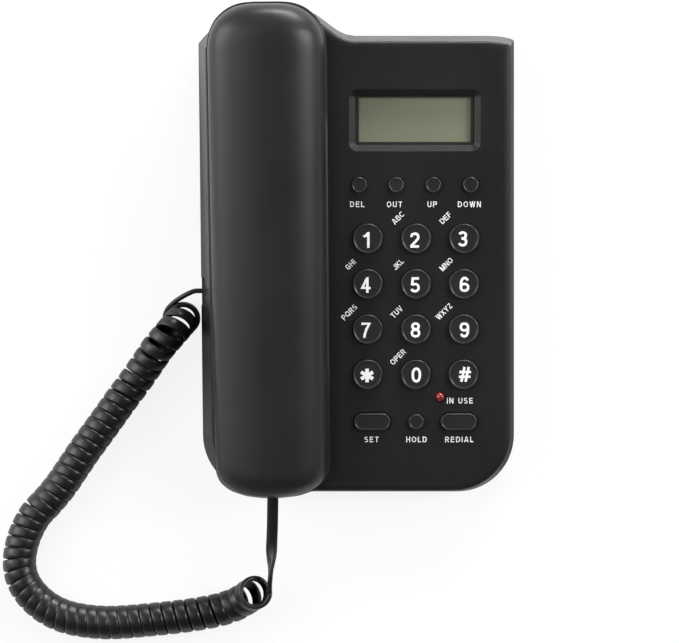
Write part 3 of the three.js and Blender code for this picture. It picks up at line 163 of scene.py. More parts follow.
def curl_points():
    """The curl's centreline and, at each point, the direction across the ribbon's face."""
    axis = smooth_line(real_points(CURL_LINE), AXIS_STEPS)
    places = [0.0]
    for before, after in zip(axis, axis[1:]):
        places.append(places[-1] + (after - before).length)
    angle = CURL_START
    side = Vector((1, 0, 0))
    stations = []
    for index, point in enumerate(axis):
        ahead = axis[min(index + 1, len(axis) - 1)]
        behind = axis[max(index - 1, 0)]
        along = (ahead - behind).normalized()
        side = (side - along * side.dot(along)).normalized()
        if index:
            place = (places[index] + places[index - 1]) / 2 / mm
            pitch = next(
                low + (high - low) * (place - start) / (end - start)
                for (start, low), (end, high) in zip(CURL_PITCHES, CURL_PITCHES[1:])
                if place <= end
            )
            angle += 2 * math.pi * (places[index] - places[index - 1]) / mm / pitch
        stations.append((point, along, side.copy(), angle))

    # Every turn is stretched a little, so that the last one ends on the lead's side
    point, along, side, angle = stations[-1]
    end_angle = math.atan2(along.cross(side).x, side.x)
    turned = angle - CURL_START
    whole = round((angle - end_angle) / (2 * math.pi))
    stretch = (end_angle + 2 * math.pi * whole - CURL_START) / turned
    count = round(turned * stretch / (2 * math.pi) * CURL_STEPS)
    line, faces = [], []
    index = 0
    for step in range(count + 1):
        wanted = step / count * turned + CURL_START
        while index < len(stations) - 2 and stations[index + 1][3] < wanted:
            index += 1
        point, along, side, angle = stations[index]
        next_point, next_along, next_side, next_angle = stations[index + 1]
        share = min(1, max(0, (wanted - angle) / max(next_angle - angle, TINY)))
        along = along.lerp(next_along, share).normalized()
        side = side.lerp(next_side, share).normalized()
        turn = (wanted - CURL_START) * stretch + CURL_START
        outward = side * math.cos(turn) + along.cross(side) * math.sin(turn)
        line.append(point.lerp(next_point, share) + outward * CURL_RADIUS)
        faces.append(along)
    return line, faces


curl_line, curl_faces = curl_points()
base_lead = smooth_line([*real_points(BASE_LEAD_LINE), curl_line[0]], LEAD_STEPS)[:-1]
handset_lead = smooth_line([curl_line[-1], *real_points(HANDSET_LEAD_LINE)], LEAD_STEPS)[1:]

# The base's lead stands on edge; the handset's leaves the curl on edge and rolls flat
base_faces = [Vector((0, 0, 1))] * len(base_lead)
handset_faces = []
for index in range(len(handset_lead)):
    share = min(1, max(0, (index / len(handset_lead) - TWIST_START) / TWIST_LENGTH))
    turn = math.pi / 2 * eased(share)
    handset_faces.append(Vector((math.sin(turn), 0, math.cos(turn))))
cord_line = base_lead + curl_line + handset_lead
cord_faces = base_faces + curl_faces + handset_faces


def finished_mesh(bm, name):
    """A smooth-shaded mesh of what was built, which is freed."""
    mesh = bpy.data.meshes.new(name)
    bm.to_mesh(mesh)
    bm.free()
    mesh.shade_smooth()
    return mesh


def ribbon_mesh(line, faces):
    """A flat cord with rounded edges along a line, its width laid along the given faces."""
    bm = bmesh.new()
    rings = []
    for index, (point, face) in enumerate(zip(line, faces)):
        ahead = line[min(index + 1, len(line) - 1)]
        behind = line[max(index - 1, 0)]
        along = (ahead - behind).normalized()
        wide = (face - along * face.dot(along)).normalized()
        thin = along.cross(wide)
        ring = []
        for step in range(RIBBON_SIDES):
            angle = (step + 0.5) / RIBBON_SIDES * 2 * math.pi
            across = signed_power(math.cos(angle), RIBBON_POWER)
            deep = signed_power(math.sin(angle), RIBBON_POWER)
            ring.append(bm.verts.new(
                point + wide * across * CORD_WIDTH / 2 + thin * deep * CORD_THICKNESS / 2))
        rings.append(ring)
    for ring, following in zip(rings, rings[1:]):
        for step in range(RIBBON_SIDES):
            after = (step + 1) % RIBBON_SIDES
            bm.faces.new((ring[step], ring[after], following[after], following[step]))
    bm.faces.new(reversed(rings[0]))
    bm.faces.new(rings[-1])
    bmesh.ops.recalc_face_normals(bm, faces=bm.faces)
    return finished_mesh(bm, "curly_cord_ribbon")


def dress(piece, material):
    piece.data.materials.clear()
    piece.data.materials.append(material)


def shown(mesh, name, material):
    """A new object in the scene with one mesh and one material."""
    piece = bpy.data.objects.new(name, mesh)
    dress(piece, material)
    bpy.context.scene.collection.objects.link(piece)
    return piece


def linear(colour):
    """A colour written as an sRGB hex value, in the linear values that shaders take."""
    parts = [int(colour[start:start + 2], 16) / 255 for start in (1, 3, 5)]
    return [c / 12.92 if c <= 0.04045 else ((c + 0.055) / 1.055) ** 2.4 for c in parts] + [1]


def add_node(tree, kind, settings=None, links=None, **inputs):
    """Adds a shader node with its settings, input values and links to its inputs."""
    node = tree.nodes.new(kind)
    for name, value in (settings or {}).items():
        setattr(node, name, value)
    for name, value in inputs.items():
        node.inputs[name.replace("_", " ")].default_value = value
    for name, socket in (links or {}).items():
        tree.links.new(socket, node.inputs[name])
    return node


def material_named(name):
    """A new material and its node tree, which is still empty."""
    material = bpy.data.materials.new(name)
    material.use_nodes = True
    material.node_tree.nodes.clear()
    return material, material.node_tree


WEAR_PATCH = 45 * mm
GLOSS_SPREAD = 0.05
GRAIN_STRENGTH = 0.35


def grained_finish(name, colour, worn, roughness, grain, depth, ior=1.5, metallic=0):
    """A finish with a fine grain, its width and depth in millimetres, a little uneven gloss
    and a slight change of tone from patch to patch.

    A grain under about 0.4 mm wouldn't show in the render, so it is drawn at least as coarse.
    """
    material, tree = material_named(name)
    place = add_node(tree, "ShaderNodeTexCoord").outputs["Object"]
    fine = add_node(tree, "ShaderNodeTexNoise", links={"Vector": place},
                    Scale=1 / (grain * mm), Detail=3, Roughness=0.6)
    wide = add_node(tree, "ShaderNodeTexNoise", links={"Vector": place},
                    Scale=1 / WEAR_PATCH, Detail=4, Roughness=0.55)
    tone = add_node(tree, "ShaderNodeMix", {"data_type": "RGBA"},
                    {"Factor": wide.outputs["Fac"]}, A=linear(colour), B=linear(worn))
    gloss = add_node(tree, "ShaderNodeMapRange", links={"Value": wide.outputs["Fac"]},
                     From_Min=0.3, From_Max=0.7,
                     To_Min=roughness - GLOSS_SPREAD, To_Max=roughness + GLOSS_SPREAD)
    bump = add_node(tree, "ShaderNodeBump", links={"Height": fine.outputs["Fac"]},
                    Strength=GRAIN_STRENGTH, Distance=depth * mm)
    surface = add_node(tree, "ShaderNodeBsdfPrincipled", links={
        "Base Color": tone.outputs["Result"], "Roughness": gloss.outputs["Result"],
        "Normal": bump.outputs["Normal"]}, IOR=ior, Metallic=metallic)
    add_node(tree, "ShaderNodeOutputMaterial", links={"Surface": surface.outputs["BSDF"]})
    return material


# Vinyl is extruded and stays slightly wavy along the cord, with a soft gloss
vinyl = grained_finish("extruded_vinyl", "#0b0b0c", "#131314", 0.37, 2.4, 0.04)

cord = shown(ribbon_mesh(cord_line, cord_faces), "cord", vinyl)
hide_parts("base_lead", "curly_cord", "handset_lead")
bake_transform(cord)


# The case: a black ABS top moulding with a fine matt grain, screwed to a tray below it.
# Its edges are broken by a small radius, which catches the light along the walls.

PANEL_TILT = math.radians(7.9)
PANEL_FRONT = Vector((0, -100.4 * mm, 20 * mm))
SAME_PLACE = 0.002 * mm
SAME_PLANE = math.radians(0.8)
SHARP_EDGE = math.radians(28)
FACE_WEIGHT = 100

# A place on the panel is an X and a U, the way up the slope from its front, in millimetres
panel_place = Matrix.Translation(PANEL_FRONT) @ Matrix.Rotation(PANEL_TILT, 4, "X")

# The mould's spark-eroded grain, a tenth of a millimetre wide on the real case, breaks its
# gloss into an even dark grey sheen. Here it is half a millimetre, or it would not show.
grained_abs = grained_finish("grained_ABS", "#171718", "#1a1a1b", 0.42, 0.5, 0.05, ior=1.4)

# The tray is black too, with a coarser and duller grain
tray_abs = grained_finish("matt_ABS", "#191919", "#1e1e1e", 0.5, 0.6, 0.06)


def dressed_copy(node, name, material, edge, segments):
    """A copy of a CAD node with its triangles merged and its edges rounded."""
    bm = bmesh.new()
    bm.from_mesh(nodes[node].data)
    bmesh.ops.remove_doubles(bm, verts=bm.verts, dist=SAME_PLACE)
    bmesh.ops.dissolve_limit(bm, angle_limit=SAME_PLANE, verts=bm.verts, edges=bm.edges)
    piece = shown(finished_mesh(bm, name), name, material)
    rounding = piece.modifiers.new("edges", "BEVEL")
    rounding.width = edge * mm
    rounding.segments = segments
    rounding.limit_method = "ANGLE"
    rounding.angle_limit = SHARP_EDGE
    rounding.use_clamp_overlap = True
    flatness = piece.modifiers.new("flatness", "WEIGHTED_NORMAL")
    flatness.weight = FACE_WEIGHT
    flatness.keep_sharp = True
    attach(piece, nodes[node]["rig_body"])
    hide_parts(node)
    return piece


housing = dressed_copy("top_case", "housing", grained_abs, edge=0.35, segments=3)
cover = dressed_copy("bottom_cover", "cover", tray_abs, edge=0.3, segments=2)


# Steel screws, rubber feet and the pieces inside keep their CAD shapes and get their finish.
# The receiver and the microphone are steel cans, and the ringer is a brass disc.

# Zinc plating is a pale grey metal with a dull shine
zinc = grained_finish("zinc_plated_steel", "#a9a9a6", "#8f8f8c", 0.35, 0.8, 0.03, metallic=1)

# Rubber is dead matt and gives back hardly any light
rubber = grained_finish("moulded_rubber", "#161616", "#1d1d1d", 0.75, 0.9, 0.08)

# Green lacquer over woven glass has a smooth, slightly cloudy shine
laminate = grained_finish("glass_fibre_laminate", "#1f5236", "#2a6040", 0.4, 0.7, 0.03)

# Silicone is a waxy grey with hardly a highlight
silicone = grained_finish("silicone_rubber", "#8b8b86", "#979792", 0.6, 1.2, 0.04)

# The plugs are smooth and shiny, and pale because the light scatters inside them
clear_plug = grained_finish("clear_polycarbonate", "#b9bcbd", "#c9cccc", 0.2, 3, 0.02)

# Nylon filled with glass is a little greyer and rougher than the case
socket_plastic = grained_finish("glass_filled_nylon", "#202022", "#2a2a2c", 0.45, 0.6, 0.05)

# The holder is a plain white with a soft sheen
white_plastic = grained_finish("white_ABS", "#d8d8d2", "#cfcfc8", 0.45, 0.6, 0.04)

# Rolled brass is a warm yellow metal, brighter than the zinc
brass = grained_finish("rolled_brass", "#c9a75a", "#b8954a", 0.3, 0.8, 0.02, metallic=1)

FINISHES = {
    "steel": zinc, "rubber": rubber, "board": laminate, "silicone": silicone, "plug": clear_plug,
    "socket": socket_plastic, "holder": white_plastic, "sounder": brass,
}
slots = {row["node"]: row["material_slot"] for row in frame["record"]["subparts"]}
for name, node in nodes.items():
    finish = FINISHES.get(slots[name])
    if finish:
        dress(node, finish)


# The display: a clear acrylic plate in a bevelled recess, over a reflective liquid crystal
# whose ground is olive grey. It is blank, as when the telephone is asleep.

CLOUD_WIDTH = 22 * mm
SMEAR_WIDTH = 12 * mm

# The crystal's ground is a dull grey green, faintly cloudy, under polished glass
crystal, tree = material_named("liquid_crystal_glass")
place = add_node(tree, "ShaderNodeTexCoord").outputs["Object"]
pattern_noise = add_node(tree, "ShaderNodeTexNoise", links={"Vector": place},
                 Scale=1 / CLOUD_WIDTH, Detail=2, Roughness=0.5)
ground = add_node(tree, "ShaderNodeMix", {"data_type": "RGBA"}, {"Factor": pattern_noise.outputs["Fac"]},
                  A=linear("#a5ac94"), B=linear("#b0b596"))
surface = add_node(tree, "ShaderNodeBsdfPrincipled", links={"Base Color": ground.outputs["Result"]},
                   Roughness=0.3, IOR=1.5)
add_node(tree, "ShaderNodeOutputMaterial", links={"Surface": surface.outputs["BSDF"]})
dress(nodes["display_panel"], crystal)

# The plate is so thin that it hardly bends the light, so it is drawn as a faint clear film
acrylic, tree = material_named("clear_acrylic")
place = add_node(tree, "ShaderNodeTexCoord").outputs["Object"]
smears = add_node(tree, "ShaderNodeTexNoise", links={"Vector": place},
                  Scale=1 / SMEAR_WIDTH, Detail=3, Roughness=0.6)
gloss = add_node(tree, "ShaderNodeMapRange", links={"Value": smears.outputs["Fac"]},
                 From_Min=0.35, From_Max=0.7, To_Min=0.03, To_Max=0.12)
surface = add_node(tree, "ShaderNodeBsdfPrincipled", links={"Roughness": gloss.outputs["Result"]},
                   Base_Color=linear("#4a4e44"), IOR=1.49, Alpha=0.18)
add_node(tree, "ShaderNodeOutputMaterial", links={"Surface": surface.outputs["BSDF"]})
dress(nodes["display_window"], acrylic)


# The lamp beside the words IN USE: the domed end of a red polystyrene lens that is not lit.
# The glints of the diode and its reflector through it are painted as paler flecks.

LAMP_X, LAMP_U = 34.75, 40.3
LAMP_RADIUS = 2.0
LAMP_RISE = 1.7
LAMP_DEPTH = 2.2
LAMP_FACETS = 32
LAMP_CREASE = math.radians(40)
# The size of the lens's painted glints
PAINTED_GLINT_SIZE = 1.3 * mm
WELD = 0.001 * mm


def verts_of(geometry):
    """The vertices in what a mesh operator gives back."""
    return [item for item in geometry if isinstance(item, bmesh.types.BMVert)]


# Clear red polystyrene is glossy and dark; the paler flecks in its colour are painted glints of the
# reflector behind it
red_lens, tree = material_named("red_polystyrene")
place = add_node(tree, "ShaderNodeTexCoord").outputs["Object"]
pattern_noise = add_node(tree, "ShaderNodeTexNoise", links={"Vector": place},
                 Scale=1 / PAINTED_GLINT_SIZE, Detail=2, Roughness=0.5)
# Dark red, mixed with a paler red that is a painted glint
tone = add_node(tree, "ShaderNodeMix", {"data_type": "RGBA"}, {"Factor": pattern_noise.outputs["Fac"]},
                A=linear("#560b0d"), B=linear("#9e2b2b"))
surface = add_node(tree, "ShaderNodeBsdfPrincipled", links={"Base Color": tone.outputs["Result"]},
                   Roughness=0.12, IOR=1.59, Coat_Weight=0.5)
add_node(tree, "ShaderNodeOutputMaterial", links={"Surface": surface.outputs["BSDF"]})

bm = bmesh.new()
bmesh.ops.create_uvsphere(bm, u_segments=LAMP_FACETS, v_segments=LAMP_FACETS // 2,
                          radius=LAMP_RADIUS * mm)
bmesh.ops.bisect_plane(bm, geom=bm.verts[:] + bm.edges[:] + bm.faces[:], plane_co=(0, 0, 0),
                       plane_no=(0, 0, 1), clear_inner=True)
bmesh.ops.remove_doubles(bm, verts=bm.verts, dist=WELD)
rim = [edge for edge in bm.edges if edge.is_boundary]
lower = bmesh.ops.extrude_edge_only(bm, edges=rim)["geom"]
bmesh.ops.translate(bm, verts=verts_of(lower), vec=(0, 0, -LAMP_DEPTH * mm))
bmesh.ops.holes_fill(bm, edges=[edge for edge in bm.edges if edge.is_boundary])
bmesh.ops.recalc_face_normals(bm, faces=bm.faces)
lift = Matrix.Translation((LAMP_X * mm, LAMP_U * mm, (LAMP_RISE - LAMP_RADIUS) * mm))
bmesh.ops.transform(bm, matrix=panel_place @ lift, verts=bm.verts)
lamp_mesh = finished_mesh(bm, "in_use_lamp")
lamp_mesh.set_sharp_from_angle(angle=LAMP_CREASE)
lamp = shown(lamp_mesh, "in_use_lamp", red_lens)
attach(lamp, "base")
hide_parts("in_use_led")


# The keys: caps of gloss-black ABS that stand in round or pill-shaped holes, each with a
# rounded rim round a top that is moulded a little hollow, on a wider foot under the case.

KEY_COLUMNS = (4.3, 24.5, 44.5)
KEY_ROWS = (107.3, 88.2, 69.1, 50)
SMALL_KEYS_X = (0.75, 16.1, 31.6, 47.1)
SMALL_KEYS_U = 129.7
BOTTOM_KEYS_U = 29.8
SET_X, HOLD_X, REDIAL_X = 6.2, 24.7, 42.65
NUMBER_CAP_RADIUS = 6.38
SMALL_CAP_RADIUS = 3.38
PILL_LENGTH = 15.6
PILL_WIDTH = 7.4
NUMBER_RISE = 2.0
SMALL_RISE = 1.6
KEY_FOOT = 3.8
KEY_SHOULDER = 2.6
FOOT_MARGIN = 1.1
CAP_EDGE = 0.6
CAP_EDGE_STEPS = 5
DISH_SLOPE = 0.5
DISH_DEPTH = 0.25
SMALL_DISH_SHARE = 0.75
KEY_FACETS = 64
KEY_CREASE = math.radians(20)

# The caps come out of a polished mould, so their black is a shade brighter and smoother
key_abs = grained_finish("polished_ABS", "#1b1b1c", "#212122", 0.37, 0.9, 0.01)


def top_face(bm):
    """The largest of a key's highest faces, which is the one with the most corners."""
    highest = max(face.calc_center_median().z for face in bm.faces)
    level = [face for face in bm.faces if face.calc_center_median().z > highest - WELD]
    return max(level, key=lambda face: len(face.verts))


def raise_top(bm, height, keep=False):
    """Extrudes the top face upwards; its first place stays as the underside if kept."""
    face = top_face(bm)
    raised = bmesh.ops.extrude_face_region(bm, geom=[face])["geom"]
    bmesh.ops.translate(bm, verts=verts_of(raised), vec=(0, 0, height))
    if not keep:
        bmesh.ops.delete(bm, geom=[face], context="FACES_ONLY")


def add_key_cap(key, x, u, radius, rise, stretch=0):
    """A key's cap on its foot, round or drawn out sideways into a pill by the stretch."""
    bm = bmesh.new()
    bmesh.ops.create_circle(bm, cap_ends=True, segments=KEY_FACETS,
                            radius=(radius + FOOT_MARGIN) * mm)
    for vert in bm.verts:
        vert.co.x += math.copysign(stretch * mm, vert.co.x)
    raise_top(bm, (KEY_FOOT - KEY_SHOULDER) * mm, keep=True)
    bmesh.ops.inset_region(bm, faces=[top_face(bm)], thickness=FOOT_MARGIN * mm,
                           use_even_offset=True)
    raise_top(bm, (KEY_SHOULDER + rise) * mm)
    bm.normal_update()
    highest = max(vert.co.z for vert in bm.verts)
    rim = [edge for edge in bm.edges if all(v.co.z > highest - WELD for v in edge.verts)]
    bmesh.ops.bevel(bm, geom=rim, offset=CAP_EDGE * mm, offset_type="OFFSET",
                    segments=CAP_EDGE_STEPS, profile=0.5, affect="EDGES", material=-1)
    share = 1 if rise == NUMBER_RISE else SMALL_DISH_SHARE
    bmesh.ops.inset_region(bm, faces=[top_face(bm)], thickness=DISH_SLOPE * share * mm,
                           depth=-DISH_DEPTH * share * mm, use_even_offset=True)
    bmesh.ops.recalc_face_normals(bm, faces=bm.faces)
    lift = Matrix.Translation((x * mm, u * mm, -KEY_FOOT * mm))
    bmesh.ops.transform(bm, matrix=panel_place @ lift, verts=bm.verts)
    node = f"key_{key}"
    mesh = finished_mesh(bm, f"{node}_cap")
    mesh.set_sharp_from_angle(angle=KEY_CREASE)
    piece = shown(mesh, f"{node}_cap", key_abs)
    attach(piece, nodes[node]["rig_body"])
    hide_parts(node)


NUMBER_KEYS = ("1", "2", "3", "4", "5", "6", "7", "8", "9", "star", "0", "hash")
for index, name in enumerate(NUMBER_KEYS):
    add_key_cap(name, KEY_COLUMNS[index % 3], KEY_ROWS[index // 3], NUMBER_CAP_RADIUS,
                NUMBER_RISE)
for name, x in zip(("del", "out", "up", "down"), SMALL_KEYS_X):
    add_key_cap(name, x, SMALL_KEYS_U, SMALL_CAP_RADIUS, SMALL_RISE)
add_key_cap("hold", HOLD_X, BOTTOM_KEYS_U, SMALL_CAP_RADIUS, SMALL_RISE)
for name, x in (("set", SET_X), ("redial", REDIAL_X)):
    add_key_cap(name, x, BOTTOM_KEYS_U, PILL_WIDTH / 2, SMALL_RISE,
                (PILL_LENGTH - PILL_WIDTH) / 2)
dress(nodes["hook_plunger"], key_abs)


# The lettering is printed in white ink on the case and on the number keys, a few
# hundredths of a millimetre thick. Its bold plain letters are drawn stroke by stroke.

INK_THICKNESS = 0.05
INK_STEP = 0.004
INK_LAYERS = 4
INK_SUNK = 0.02
CAPITAL = 10
STROKE = 1.58
CORNER_LIMIT = 1.5
SHARPEST_CORNER = 0.1
ARC_STEP = 15
ARC_SQUARENESS = 2.25
RING_END = 0.1
RING_JOIN = 0.001
WORD_GAP = 2.3
LETTER_GAP = 1.2
LETTER_TURN = 45

# Screen ink is an opaque, even white that dries with a soft sheen
ink = grained_finish("white_screen_ink", "#f8f8f7", "#fdfdfc", 0.5, 0.4, 0.01)

# Each letter: its width, then its strokes, in tenths of a capital's height. A stroke goes from
# point to point, and six numbers in a row are an arc's centre, its two radii and two angles.
LETTERFORMS = {
    "0": (6.4, "3.2,5,2.25,4.05,0,360"),
    "1": (5, "3.9,0 3.9,10/0.9,7.2 2.5,7.9 3.6,9.4"),
    "2": (6.2, "3.1,6.95,2.15,2.1,180,-40 1,1.3/0.25,0.95 5.75,0.95"),
    "3": (6.2, "2.95,7.2,1.95,1.85,160,-90 2.3,5.3/2.2,5.1 2.95,3.05,2.2,2.1,90,-160"),
    "4": (6.4, "4.3,0 4.3,9.9/4.2,9.4 1,3.05 6.3,3.05"),
    "5": (6.3, "5.6,9.05 1.75,9.05 1.25,4.75/1.25,4.6 3.05,3.2,2.3,2.25,130,-160"),
    "6": (6.4, "3.2,3.1,2.25,2.15,0,360/3.25,5,2.3,4.05,35,180 0.95,3.1"),
    "7": (6, "0.3,9.05 5.3,9.05 3.4,5.6 2.4,2.4 2.1,0"),
    "8": (6.4, "3.2,7.3,1.95,1.75,0,360/3.2,3.05,2.25,2.1,0,360"),
    "9": (6.4, "3.2,6.9,2.25,2.15,0,360/3.15,5,2.3,4.05,215,360 5.45,6.9"),
    "*": (8, "4,1 4,9/0.5,3 7.5,7/0.5,7 7.5,3"),
    "#": (8.2, "1.9,0.3 3.9,9.7/4.5,0.3 6.5,9.7/0.6,6.5 7.9,6.5/0.3,3.5 7.6,3.5"),
    "A": (7.8, "0.7,0 3.6,10/4.2,10 7.1,0/1.9,2.8 5.9,2.8"),
    "B": (7.1, "1,0 1,10/1,9.05 3.9,7.15,1.9,1.9,90,-90 1,5.25/"
               "1,5.2 4.1,3.1,2.15,2.15,90,-90 1,0.95"),
    "C": (7.5, "3.9,5,3,4.05,42,318"),
    "D": (7.4, "1,0 1,10/1,9.05 3.3,5,3.1,4.05,90,-90 1,0.95"),
    "E": (6.8, "1,0 1,10/1,9.05 6.3,9.05/1,5.2 5.9,5.2/1,0.95 6.5,0.95"),
    "F": (6.3, "1,0 1,10/1,9.05 6.1,9.05/1,4.9 5.5,4.9"),
    "G": (7.8, "3.95,5,3.05,4.05,42,330 6.75,4.7 4.1,4.7"),
    "H": (7.2, "1,0 1,10/6.2,0 6.2,10/1,5 6.2,5"),
    "I": (2, "1,0 1,10"),
    "J": (5.5, "4.6,10 2.75,3,1.85,2.05,0,-175"),
    "K": (7.2, "1,0 1,10/6.2,10 1.6,4.4/3,6.2 6.6,0"),
    "L": (6.1, "1,10 1,0.95 5.9,0.95"),
    "M": (8.6, "1,0 1,10/7.6,0 7.6,10/1.5,10 4.1,0/4.5,0 7.1,10"),
    "N": (7.3, "1,0 1,10/6.3,0 6.3,10/1.3,9.5 6,0.5"),
    "O": (8.1, "4.05,5,3.1,4.05,0,360"),
    "P": (7, "1,0 1,10/1,9.05 3.9,6.85,2.2,2.2,90,-90 1,4.65"),
    "Q": (8.1, "4.05,5,3.1,4.05,0,360/4.6,3 7.3,0.3"),
    "R": (7.3, "1,0 1,10/1,9.05 3.9,6.95,2.1,2.1,90,-90 1,4.85/3.7,4.9 6.3,0"),
    "S": (6.8, "3.35,7.15,2.2,1.9,30,260 3.45,2.95,2.4,2,80,-150"),
    "T": (6.8, "0.3,9.05 6.5,9.05/3.4,0 3.4,9.05"),
    "U": (7.2, "1,10 3.6,3.2,2.6,2.25,180,360 6.2,10"),
    "V": (7.2, "0.9,10 3.3,0/3.9,0 6.3,10"),
    "W": (10, "0.8,10 2.7,0/3,0 4.8,10/5.2,10 7,0/7.3,0 9.2,10"),
    "X": (7, "0.6,0 6.4,10/0.6,10 6.4,0"),
    "Y": (7, "0.7,10 3.4,4.2/3.6,4.2 6.3,10/3.5,0 3.5,4.9"),
    "Z": (6.5, "0.4,9.05 6.1,9.05/5.7,8.9 0.9,1.1/0.4,0.95 6.3,0.95"),
    " ": (3.4, ""),
}


def stroke_line(text):
    """The middle line of one stroke: corners as written, arcs in small steps."""
    line = []
    for part in text.split():
        numbers = [float(number) for number in part.split(",")]
        if len(numbers) == 2:
            line.append(Vector(numbers))
            continue
        x, y, across, up, start, end = numbers
        steps = math.ceil(abs(end - start) / ARC_STEP)
        for step in range(steps + 1):
            angle = math.radians(start + (end - start) * step / steps)
            line.append(Vector((
                x + across * signed_power(math.cos(angle), 2 / ARC_SQUARENESS),
                y + up * signed_power(math.sin(angle), 2 / ARC_SQUARENESS))))
    return line


def add_stroke(bm, line, weight, height):
    """Draws an edge as wide as the stroke along its middle line, its corners mitred."""
    closed = (line[0] - line[-1]).length < RING_END
    edge = None
    for index, point in enumerate(line):
        behind = line[index - 1] if index else (line[-2] if closed else None)
        ahead = line[index + 1] if index + 1 < len(line) else (line[1] if closed else None)
        before = (point - behind).normalized() if behind else (ahead - point).normalized()
        after = (ahead - point).normalized() if ahead else before
        along = (before + after).normalized()
        out = Vector((-along.y, along.x)) * weight / 2
        out *= min(CORNER_LIMIT, 1 / max(along.dot(before), SHARPEST_CORNER))
        ends = [(*(point + out), height), (*(point - out), height)]
        if edge is None:
            edge = bm.edges.new([bm.verts.new(end) for end in ends])
            continue
        raised = bmesh.ops.extrude_edge_only(bm, edges=[edge])["geom"]
        start = edge.verts[0]
        edge = next(item for item in raised if isinstance(item, bmesh.types.BMEdge))
        first = edge.verts[0] if (edge.verts[0].co - start.co).length < TINY else edge.verts[1]
        first.co, edge.other_vert(first).co = ends


def printed(text, name, height, x, u, rise, turn=0, gap=WORD_GAP, weight=STROKE):
    """A word as a thin mesh on the panel, its capitals of the given height (mm).

    Strokes that cross lie a little above one another, so that no two share a plane.
    """
    bm = bmesh.new()
    step = INK_STEP * CAPITAL / height
    pen = 0
    count = 0
    for letter in text:
        width, strokes = LETTERFORMS[letter]
        for stroke in filter(None, strokes.split("/")):
            count += 1
            line = [point + Vector((pen, 0)) for point in stroke_line(stroke)]
            add_stroke(bm, line, weight, step * (count % INK_LAYERS))
        pen += width + gap
    bmesh.ops.remove_doubles(bm, verts=bm.verts, dist=RING_JOIN)
    lower = bmesh.ops.extrude_face_region(bm, geom=bm.faces[:])["geom"]
    bmesh.ops.translate(bm, verts=verts_of(lower),
                        vec=(0, 0, -INK_THICKNESS * CAPITAL / height))
    bmesh.ops.recalc_face_normals(bm, faces=bm.faces)
    centre = Matrix.Translation((-(pen - gap) / 2, -CAPITAL / 2, 0))
    size = Matrix.Scale(height / CAPITAL * mm, 4)
    place = Matrix.Translation((x * mm, u * mm, (rise + INK_THICKNESS - INK_SUNK) * mm))
    turned = Matrix.Rotation(math.radians(turn), 4, "Z")
    bmesh.ops.transform(bm, matrix=panel_place @ place @ turned @ size @ centre, verts=bm.verts)
    mesh = bpy.data.meshes.new(name)
    bm.to_mesh(mesh)
    bm.free()
    return mesh


DIGIT_HEIGHT = 6.6
SIGNS = {"star": "*", "hash": "#"}
SIGN_HEIGHTS = {"star": 7.2, "hash": 6.7}
SIGN_WEIGHTS = {"star": 2.1, "hash": 1.55}

# How far the middle of each digit stands from the middle of its key
DIGIT_SHIFTS = {
    "1": (-0.7, -0.5), "2": (-0.6, -0.5), "3": (-0.6, 0), "4": (-0.9, -0.25), "5": (-0.45, -0.2),
    "6": (0.2, 0), "7": (-0.8, -0.2), "8": (-0.2, -0.15), "9": (0.25, -0.15),
    "star": (-0.25, -0.3), "0": (0.2, -0.1), "hash": (0.55, 0.15),
}
for index, name in enumerate(NUMBER_KEYS):
    shift_x, shift_u = DIGIT_SHIFTS[name]
    mesh = printed(SIGNS.get(name, name), f"digit_{name}", SIGN_HEIGHTS.get(name, DIGIT_HEIGHT),
                   KEY_COLUMNS[index % 3] + shift_x, KEY_ROWS[index // 3] + shift_u,
                   NUMBER_RISE - DISH_DEPTH, weight=SIGN_WEIGHTS.get(name, STROKE))
    digit = shown(mesh, f"digit_{name}", ink)
    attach(digit, nodes[f"key_{name}"]["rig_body"])

WORD_HEIGHT = 2.45
LETTER_HEIGHT = 2.4

# The words under the keys and beside the lamp, and the letters that stand aslant at
# the number keys, each with the place of its middle on the panel
WORDS = [
    ("DEL", -0.1, 121.6), ("OUT", 15.4, 121.6), ("UP", 31.1, 121.6), ("DOWN", 46.6, 121.6),
    ("SET", 6, 22.2), ("HOLD", 24.9, 22.2), ("REDIAL", 42.9, 22.2), ("IN USE", 43.1, 38.7),
]
LETTERS = [
    ("ABC", 16.9, 115.9), ("DEF", 36.7, 115.9), ("GHI", -2.9, 96.3), ("JKL", 17, 96.4),
    ("MNO", 37.1, 96.4), ("PQRS", -3.4, 76.2), ("TUV", 16.4, 76.3), ("WXYZ", 36.2, 76.5),
    ("OPER", 17, 57.3),
]
bm = bmesh.new()
for text, x, u in WORDS:
    bm.from_mesh(printed(text, f"word_{text}", WORD_HEIGHT, x, u, 0))
for text, x, u in LETTERS:
    bm.from_mesh(printed(text, f"letters_{text}", LETTER_HEIGHT, x, u, 0, LETTER_TURN,
                         LETTER_GAP))
words = shown(finished_mesh(bm, "panel_lettering"), "panel_lettering", ink)
words.data.shade_flat()
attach(words, "base")


# The handset: two ABS shells that meet at a seam, the lower one with a narrow rim that
# shows outside the upper one. Both are lofted along the handset and hollow.

HANDSET_LENGTH = 207.5
HANDSET_BACK_WIDTH = 49.7
HANDSET_FRONT_WIDTH = 48.2
SEAM_HEIGHT = 9.5
CROWN_HEIGHT = 13.5
CUP_DEPTH = 21.5
GRIP_DEPTH = 11
SHELL_WALL = 2.2
SHELL_RIM = 0.6
SHELL_SHIFT = 0.25
SEAM_GAP = 0.3
SEAM_CREASE = math.radians(50)
CUT_TOLERANCE = 1e-7
CUP_LENGTH = 44
CUP_SLOPE = 10
CUP_SLOPE_STEPS = 6
MOUTH_ROUNDING = 16
EAR_ROUNDING = 20
TABLE_STEPS = 3
CROWN_POWER = 2.3
CROWN_STEPS = 40
HANDSET_X, HANDSET_U = -36.5, 102.35
HANDSET_TURN = math.radians(0.64)

